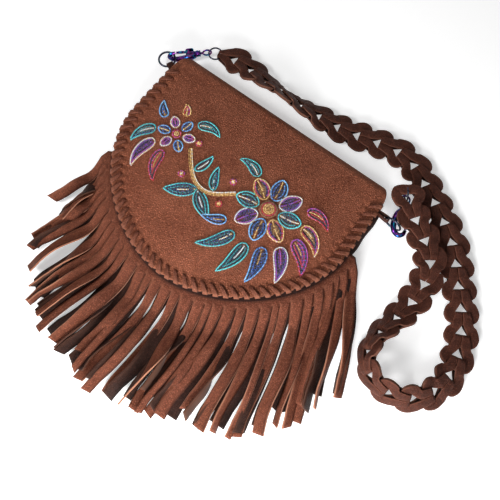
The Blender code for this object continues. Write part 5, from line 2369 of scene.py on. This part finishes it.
@dataclass
class Beadwork:
    """A generic spray of a flower, a bud, a stem, leaves and berries in seed beads."""

    shape: FlapShape
    bead_radius: float = 0.00082
    bead_half_length: float = 0.00061
    bead_pitch: float = 0.00150
    row_step: float = 0.00160
    least_gap: float = 0.00116
    aim_step: float = 0.0004
    jitter: float = 0.00008
    # How high a bead's middle sits above the leather, in bead radii.
    seat: float = 0.94
    tone_variation: float = 0.30
    flower: tuple[float, float] = (0.046, 0.010)
    flower_radius: float = 0.034
    flower_petals: int = 8
    flower_turn: float = 0.2
    center_radius: float = 0.0092
    bud: tuple[float, float] = (-0.078, 0.020)
    bud_radius: float = 0.019
    bud_petals: int = 6
    bud_turn: float = 0.3
    stem_sag: float = 0.022
    leaf_length: float = 0.034
    leaf_half_width: float = 0.0068
    leaf_direction: tuple[float, float] = (0.83, -0.56)
    # The blades round the flower and the bud: start, heading, length, bend, half width.
    flower_blades: Rows = (
        (0.083, 0.014, 8, 0.034, -80, 0.0064), (0.084, -0.001, -14, 0.038, -60, 0.0066),
        (0.077, -0.015, -38, 0.037, -46, 0.0068), (0.064, -0.025, -60, 0.039, -40, 0.0066),
        (0.049, -0.031, -82, 0.041, -36, 0.0066), (0.033, -0.029, -106, 0.040, -44, 0.0062),
        (0.019, -0.023, -138, 0.026, -34, 0.0050), (0.078, 0.031, 34, 0.030, -88, 0.0054),
        (0.016, 0.032, 132, 0.028, 76, 0.0054))
    bud_blades: Rows = (
        (-0.099, 0.012, 208, 0.030, 70, 0.0056), (-0.091, 0.001, 236, 0.038, 62, 0.0060),
        (-0.077, -0.003, 262, 0.036, 60, 0.0056), (-0.099, 0.029, 160, 0.020, -52, 0.0044),
        (-0.066, 0.040, 50, 0.028, -86, 0.0052), (-0.084, 0.042, 104, 0.014, 40, 0.0040))
    # Small leaves above the stem: share of the stem, heading, length, bend, half width.
    sprigs: Rows = (
        (0.28, 62, 0.024, 30, 0.0042), (0.70, 132, 0.026, -34, 0.0044))
    berry_radius: float = 0.0037
    # Berries by the stem: share of the stem and distance above it.
    berries: Rows = (
        (0.16, -0.015), (0.86, 0.016), (0.06, 0.014), (0.90, -0.013))
    rows: list[BeadRow] = field(default_factory=list)

    def blade(self, spine: Array, half_width: float, scheme: Scheme, skew: float = 0.75,
              blunt: float = 0.75) -> None:
        """Adds a petal or leaf as rows nested inside its edge.

        Args:
            spine: points along its middle, from its root to its tip.
            half_width: half its greatest width.
            scheme: thread and tones of the rows, from the outermost inwards; the last is the vein.
            skew: below 1 the widest place lies nearer the root.
            blunt: below 1 the ends are rounder.
        """
        lengths = run_lengths(spine)
        total = lengths[-1]
        normal = left_of(unit(np.gradient(spine, lengths, axis=0)))
        levels = int((half_width + 0.0004) / self.row_step)
        for level in range(levels):
            inset = level * self.row_step
            share = np.linspace(inset * 1.1 / total, 1 - inset * 1.5 / total, 36)
            wide = half_width * np.sin(math.pi * share ** skew) ** blunt - inset
            wide = np.maximum(wide, 0.0)
            middle = follow(share * total, lengths, spine)
            aside = follow(share * total, lengths, normal) * wide[:, None]
            thread, low, high = scheme[min(level, len(scheme) - 2)]
            self.rows.append(BeadRow(thread, middle + aside, (low, high)))
            self.rows.append(BeadRow(thread, middle - aside, (low, high)))
        thread, low, high = scheme[-1]
        keep = slice(int(len(spine) * 0.08), int(len(spine) * 0.92))
        self.rows.append(BeadRow(thread, spine[keep], (low, high)))

    @staticmethod
    def arc(start: Sequence[float], heading: float, length: float, bend: float,
            steps: int = 48, tighten: float = 1.0) -> Array:
        """A line that starts at a heading in degrees and bends evenly, or ever tighter.

        Args:
            start: where it starts.
            heading: the heading in degrees.
            length: how long it is.
            bend: how far it turns, in degrees.
            steps: how many steps to take.
            tighten: above 1 it bends ever tighter.

        Returns:
            Points along the line.
        """
        path = [np.array(start, float)]
        for k in range(steps):
            share = (k + 0.5) / steps
            angle = math.radians(heading + bend * share ** tighten)
            path.append(path[-1] + length / steps * np.array([math.cos(angle), math.sin(angle)]))
        return np.array(path)

    def rosette(self, center: Array, radius: float, scheme: Scheme, dome: float) -> None:
        """Adds rings of beads round a centre, raised to a dome.

        Args:
            center: its centre.
            radius: its radius.
            scheme: thread and tones of each ring, outwards.
            dome: how high its middle stands.
        """
        step = radius / (len(scheme) - 0.5)

        def raised(points: Array) -> Array:
            """How high the dome stands at points of the flap."""
            away = np.linalg.norm(points - center, axis=1) / radius
            return dome * np.clip(1.15 - away ** 2, 0, 1)

        for ring, (thread, low, high) in enumerate(scheme):
            turn = np.linspace(0, 2 * math.pi, 48)
            reach = max(step * ring, 0.0002)
            path = center + reach * np.column_stack([np.cos(turn), np.sin(turn)])
            self.rows.append(BeadRow(thread, path, (low, high), raised))

    def petals(self, center: Array, count: int, turn: float, inner: float, outer: float,
               half_width: float, schemes: Sequence[Scheme], swirl: float) -> None:
        """Adds a ring of petals.

        Args:
            center: its centre.
            count: how many there are.
            turn: the first one's heading.
            inner: where they start.
            outer: where they end.
            half_width: half the greatest width.
            schemes: the schemes, taken in turn.
            swirl: how far each one bends.
        """
        for k in range(count):
            heading = math.degrees(turn) + 360 * k / count
            out = np.array([math.cos(math.radians(heading)), math.sin(math.radians(heading))])
            spine = self.arc(center + out * inner, heading - swirl / 2, outer - inner, swirl)
            self.blade(spine, half_width, schemes[k % len(schemes)], 0.95, 0.6)

    def lay_out(self) -> None:
        """Draws every row of the design."""
        flower = np.array(self.flower)
        bud = np.array(self.bud)
        gold, teal, blue, violet = Thread.GOLD, Thread.TEAL, Thread.BLUE, Thread.VIOLET
        sea = ((teal, 0.6, 1.0), (blue, 0.0, 0.05), (teal, 0.1, 0.4), (blue, 0.0, 0.05),
               (blue, 0.0, 0.05), (gold, 0.95, 1.0))
        sky = ((blue, 0.75, 1.0), (blue, 0.0, 0.05), (blue, 0.3, 0.5), (blue, 0.0, 0.05),
               (gold, 0.3, 0.6))
        plum = ((gold, 0.95, 1.0), (violet, 0.35, 0.6), (blue, 0.0, 0.05), (violet, 0.0, 0.1),
                (blue, 0.0, 0.05), (violet, 0.5, 0.7))
        rose = ((violet, 0.75, 1.0), (blue, 0.0, 0.05), (violet, 0.95, 1.0), (violet, 0.0, 0.1),
                (gold, 0.4, 0.6))
        amber = ((gold, 0.35, 0.6), (violet, 1.0, 0.95), (blue, 0.0, 0.05), (gold, 0.0, 0.1),
                 (gold, 0.6, 0.7))
        self.rosette(flower, self.center_radius,
                     ((gold, 0.0, 0.0), (gold, 0.1, 0.2), (gold, 0.5, 0.6), (gold, 0.3, 0.4),
                      (violet, 0.95, 1.0), (gold, 0.0, 0.1)), 0.0021)
        self.petals(flower, self.flower_petals, self.flower_turn, 0.0112,
                    self.flower_radius + 0.001, 0.0079, (sea, plum, sky, amber), 22)
        self.rosette(bud, 0.0052, ((gold, 0.6, 0.6), (gold, 0.3, 0.4), (violet, 1.0, 0.9)), 0.0010)
        self.petals(bud, self.bud_petals, self.bud_turn, 0.0072, self.bud_radius + 0.0012,
                    0.0046, (plum, sky), 16)
        for blades, schemes in ((self.flower_blades, (amber, rose, plum, sky, sea, sea, sky, rose,
                                                      sea)),
                                (self.bud_blades, (sea, plum, rose, sky, sea, amber))):
            for (x, y, heading, length, bend, half_width), scheme in zip(blades, schemes):
                self.blade(self.arc((x, y), heading, length, bend), half_width, scheme, 0.55, 0.85)
        self.stem_and_leaves(flower, bud, sea)

    def stem_and_leaves(self, flower: Array, bud: Array, scheme: Scheme) -> None:
        """Draws the stem between the flower and the bud, with its leaves and berries.

        Args:
            flower: the flower's centre.
            bud: the bud's centre.
            scheme: thread and tones of each ring, outwards.
        """
        gold, violet = Thread.GOLD, Thread.VIOLET
        start = bud + (self.bud_radius + 0.002, -0.004)
        end = flower + (-self.flower_radius - 0.002, -0.006)
        share = np.linspace(0, 1, 40)
        middle = start + np.outer(share, end - start)
        middle[:, 1] -= self.stem_sag * np.sin(math.pi * share)
        normal = left_of(unit(np.gradient(middle, axis=0)))
        for step, tones in ((-1, (0.0, 0.2)), (0, (0.35, 0.6)), (1, (0.9, 1.0))):
            self.rows.append(BeadRow(gold, middle + normal * step * self.row_step, tones))
        root = (start + end) / 2 - (0.0, self.stem_sag + 0.003)
        angle = math.degrees(math.atan2(self.leaf_direction[1], self.leaf_direction[0]))
        for heading, bend in ((angle - 8, 16), (180 - angle + 8, -16)):
            self.blade(self.arc(root, heading, self.leaf_length, bend), self.leaf_half_width,
                       scheme, 0.8, 0.8)
        for place, heading, length, bend, half_width in self.sprigs:
            sprig = start + place * (end - start)
            sprig = sprig + (0.0, -self.stem_sag * math.sin(math.pi * place)) + (0.0, 0.004)
            self.blade(self.arc(sprig, heading, length, bend), half_width, scheme, 0.7, 0.8)
        for place, offset in self.berries:
            berry = start + place * (end - start)
            berry[1] += offset - self.stem_sag * math.sin(math.pi * place)
            self.rosette(berry, self.berry_radius,
                         ((gold, 0.9, 1.0), (gold, 0.3, 0.5), (violet, 0.95, 1.0)), 0.0007)

    def bead(self) -> Piece:
        """One seed bead: a short rounded barrel, threaded along X.

        Returns:
            The bead.
        """
        Bench.clear()
        bpy.ops.mesh.primitive_uv_sphere_add(segments=8, ring_count=5, radius=1.0,
                                             rotation=(0, math.pi / 2, 0))
        piece = Bench.added("bead_form")
        points = Bench.points(piece)
        along = np.sign(points[:, 0]) * np.abs(points[:, 0]) ** 0.75
        reach = np.hypot(points[:, 1], points[:, 2])
        fuller = np.where(reach > 1e-6, np.clip(reach, 1e-6, 1) ** 0.6 / np.maximum(reach, 1e-6), 1)
        points = np.column_stack([along * self.bead_half_length,
                                  points[:, 1] * fuller * self.bead_radius,
                                  points[:, 2] * fuller * self.bead_radius])
        Bench.move(piece, points)
        return piece

    def thread_up(self) -> dict[Thread, tuple[list, list]]:
        """Strings beads on every row, leaving out those that would overlap another.

        Returns:
            For each colour family, the beads' spots and tones.
        """
        laid = np.empty((0, 2))
        found: dict[Thread, tuple[list, list]] = {thread: ([], []) for thread in Thread}
        for number, row in enumerate(self.rows):
            lengths = run_lengths(row.path)
            count = max(int(lengths[-1] / self.bead_pitch), 1)
            at = (np.arange(count) + 0.5) * lengths[-1] / count
            spots, ahead, behind = (follow(at + shift, lengths, row.path)
                                    for shift in (0.0, self.aim_step, -self.aim_step))
            keep = np.ones(len(spots), bool)
            for k, spot in enumerate(spots):
                near = np.vstack([laid, spots[:k][keep[:k]]])
                apart = np.linalg.norm(near - spot, axis=1)
                keep[k] = not len(near) or apart.min() > self.least_gap
            height = self.shape.surface(*spots.T)
            rise = self.shape.surface(*ahead.T) - self.shape.surface(*behind.T)
            lift = row.raised(spots) if row.raised else np.zeros(len(spots))
            jitter = self.jitter * uneven(np.arange(count) + number * 7.0)
            places, tones = found[row.thread]
            for k in np.nonzero(keep)[0]:
                along = Vector((*(ahead[k] - behind[k]), rise[k]))
                if along.length < 1e-9:
                    along = Vector((1, 0, 0))
                level = height[k] + lift[k] + self.bead_radius * self.seat + jitter[k]
                places.append((Vector((*spots[k], level)), along, Vector((0, 0, 1))))
                share = k / max(count - 1, 1)
                tones.append(row.tones[0] + (row.tones[1] - row.tones[0]) * share
                             + self.tone_variation * float(uneven(k * 3.3 + number)))
            laid = np.vstack([laid, spots[keep]])
        return found

    def build(self, finishes: Finishes) -> None:
        """Lays the beads, one joined piece for each colour family.

        Args:
            finishes: the bag's finishes.
        """
        self.lay_out()
        nodes = {Thread.GOLD: ("bead_flower_center", "bead_stem"), Thread.TEAL: ("bead_leaves",),
                 Thread.BLUE: ("bead_flower",), Thread.VIOLET: ("bead_bud",)}
        for thread, (places, tones) in self.thread_up().items():
            held = np.clip(np.array(tones), 0.0, 1.0)
            piece = Copies.make(f"{thread.value}_rows", self.bead(), places, held)
            Bench.dress(piece, finishes.beads[thread])
            Bench.smooth(piece)
            Bench.settle(piece, "flap", thread.value, *nodes[thread])
            LOG.info("%s: %d beads", piece.name, len(places))


# Studio


@dataclass
class Studio:
    """The pale floor, the soft light and the camera."""

    turn: float = math.radians(37.1)
    tilt: float = math.radians(18.0)
    distance: float = 0.70
    target: tuple[float, float, float] = (0.0516, -0.0277, 0.0)
    lens: float = 50.4
    floor_size: float = 8.0
    floor_drop: float = 0.0002
    world_strength: float = 0.15
    lamp_power: float = 6.2
    lamp_size: float = 0.35
    lamp_aim: tuple[float, float, float] = (0.05, -0.02, 0.0)
    # How far up, right and back from the camera's target each lamp stands.
    lamps: tuple[tuple[str, float, float, float], ...] = (
        ("key_lamp", 0.12, -0.75, 0.70), ("front_lamp", -0.40, -0.10, 0.36))

    def axes(self) -> tuple[Vector, Vector, Vector]:
        """The camera's right, up and back directions.

        Returns:
            Three unit vectors.
        """
        cos, sin = math.cos(self.turn), math.sin(self.turn)
        right = Vector((cos, sin, 0.0))
        up = Vector((-sin * math.cos(self.tilt), cos * math.cos(self.tilt), math.sin(self.tilt)))
        return right, up, right.cross(up)

    def camera(self) -> None:
        """Adds the camera at the photograph's angle."""
        right, up, back = self.axes()
        place = Vector(self.target) + back * self.distance
        Bench.clear()
        bpy.ops.object.camera_add(location=place)
        made = bpy.context.object
        made.name = "camera"
        made.data.lens = self.lens
        made.data.sensor_width = 36.0
        made.data.clip_start = 0.01
        turned = made.matrix_world.copy()
        for column, axis in enumerate((right, up, back)):
            for row in range(3):
                turned[row][column] = axis[row]
        made.matrix_world = turned
        bpy.context.scene.camera = made

    def lights(self) -> None:
        """Adds the soft area lamps, which face the bag."""
        right, up, back = self.axes()
        for name, upwards, sideways, backwards in self.lamps:
            place = Vector(self.target) + up * upwards + right * sideways + back * backwards
            Bench.clear()
            bpy.ops.object.light_add(type="AREA", location=place)
            made = bpy.context.object
            made.name = name
            made.data.energy = self.lamp_power
            made.data.shape = "DISK"
            made.data.size = self.lamp_size
            aim = Vector(self.lamp_aim) - place
            made.rotation_euler = aim.to_track_quat("-Z", "Y").to_euler()

    @staticmethod
    def seen(graph: Graph) -> Socket:
        """1 for what the camera, a reflection or glass sees, and 0 for the light that is cast.

        Args:
            graph: the material's graph.

        Returns:
            The value.
        """
        path = graph.add("ShaderNodeLightPath").outputs
        direct = graph.math("ADD", path["Is Camera Ray"], path["Is Glossy Ray"])
        return graph.math("ADD", direct, path["Is Transmission Ray"], True)

    def world(self) -> None:
        """A pale world that the camera and reflections see as white."""
        made = bpy.data.worlds.new("studio")
        bpy.context.scene.world = made
        made.use_nodes = True
        graph = Graph(made.node_tree)
        surface = made.node_tree.nodes["Background"]
        seen = self.seen(graph)
        surface.inputs["Color"].default_value = (1.0, 1.0, 1.0, 1.0)
        made.node_tree.links.new(graph.spread(seen, self.world_strength, 1.0),
                                 surface.inputs["Strength"])

    def floor(self) -> None:
        """A pale floor that stays white to the camera and keeps the bag's shadow."""
        Bench.clear()
        bpy.ops.mesh.primitive_plane_add(size=self.floor_size, location=(0, 0, -self.floor_drop))
        piece = Bench.name(bpy.context.object, "floor")
        mat = bpy.data.materials.new("pale floor")
        mat.use_nodes = True
        graph = Graph(mat.node_tree)
        shader = mat.node_tree.nodes["Principled BSDF"]
        shader.inputs["Base Color"].default_value = (0.9, 0.9, 0.9, 1.0)
        shader.inputs["Roughness"].default_value = 0.9
        shader.inputs["Emission Color"].default_value = (1.0, 1.0, 1.0, 1.0)
        seen = self.seen(graph)
        mat.node_tree.links.new(graph.spread(seen, 0.0, 0.45),
                                shader.inputs["Emission Strength"])
        Bench.dress(piece, mat)

    def build(self) -> None:
        """Sets up the whole studio."""
        self.camera()
        self.lights()
        self.world()
        self.floor()
        bpy.context.scene.view_settings.view_transform = "Standard"


def main() -> None:
    """Builds the bag, sub-assembly by sub-assembly."""
    logging.basicConfig(level=logging.INFO, format="%(name)s: %(message)s")
    Studio().build()
    finishes = Finishes()
    shape = FlapShape(Outline())
    flap = Flap(shape)
    flap.build(finishes)
    Lacing(shape).build(finishes, flap)
    Pouch(shape).build(finishes)
    for layer in Layer:
        Fringe(shape, layer).build(finishes)
    Strap().build(finishes)
    for side in Side:
        Clasp(side).build(finishes)
        Tab(side, shape).build(finishes)
        RoundRing(f"{side.value}_bag_ring", f"{side.value}_ring").build(finishes.dark_metal)
        RoundRing(f"{side.value}_strap_ring", "root").build(finishes.dark_metal)
    Beadwork(shape).build(finishes)


if __name__ == "__main__":
    main()
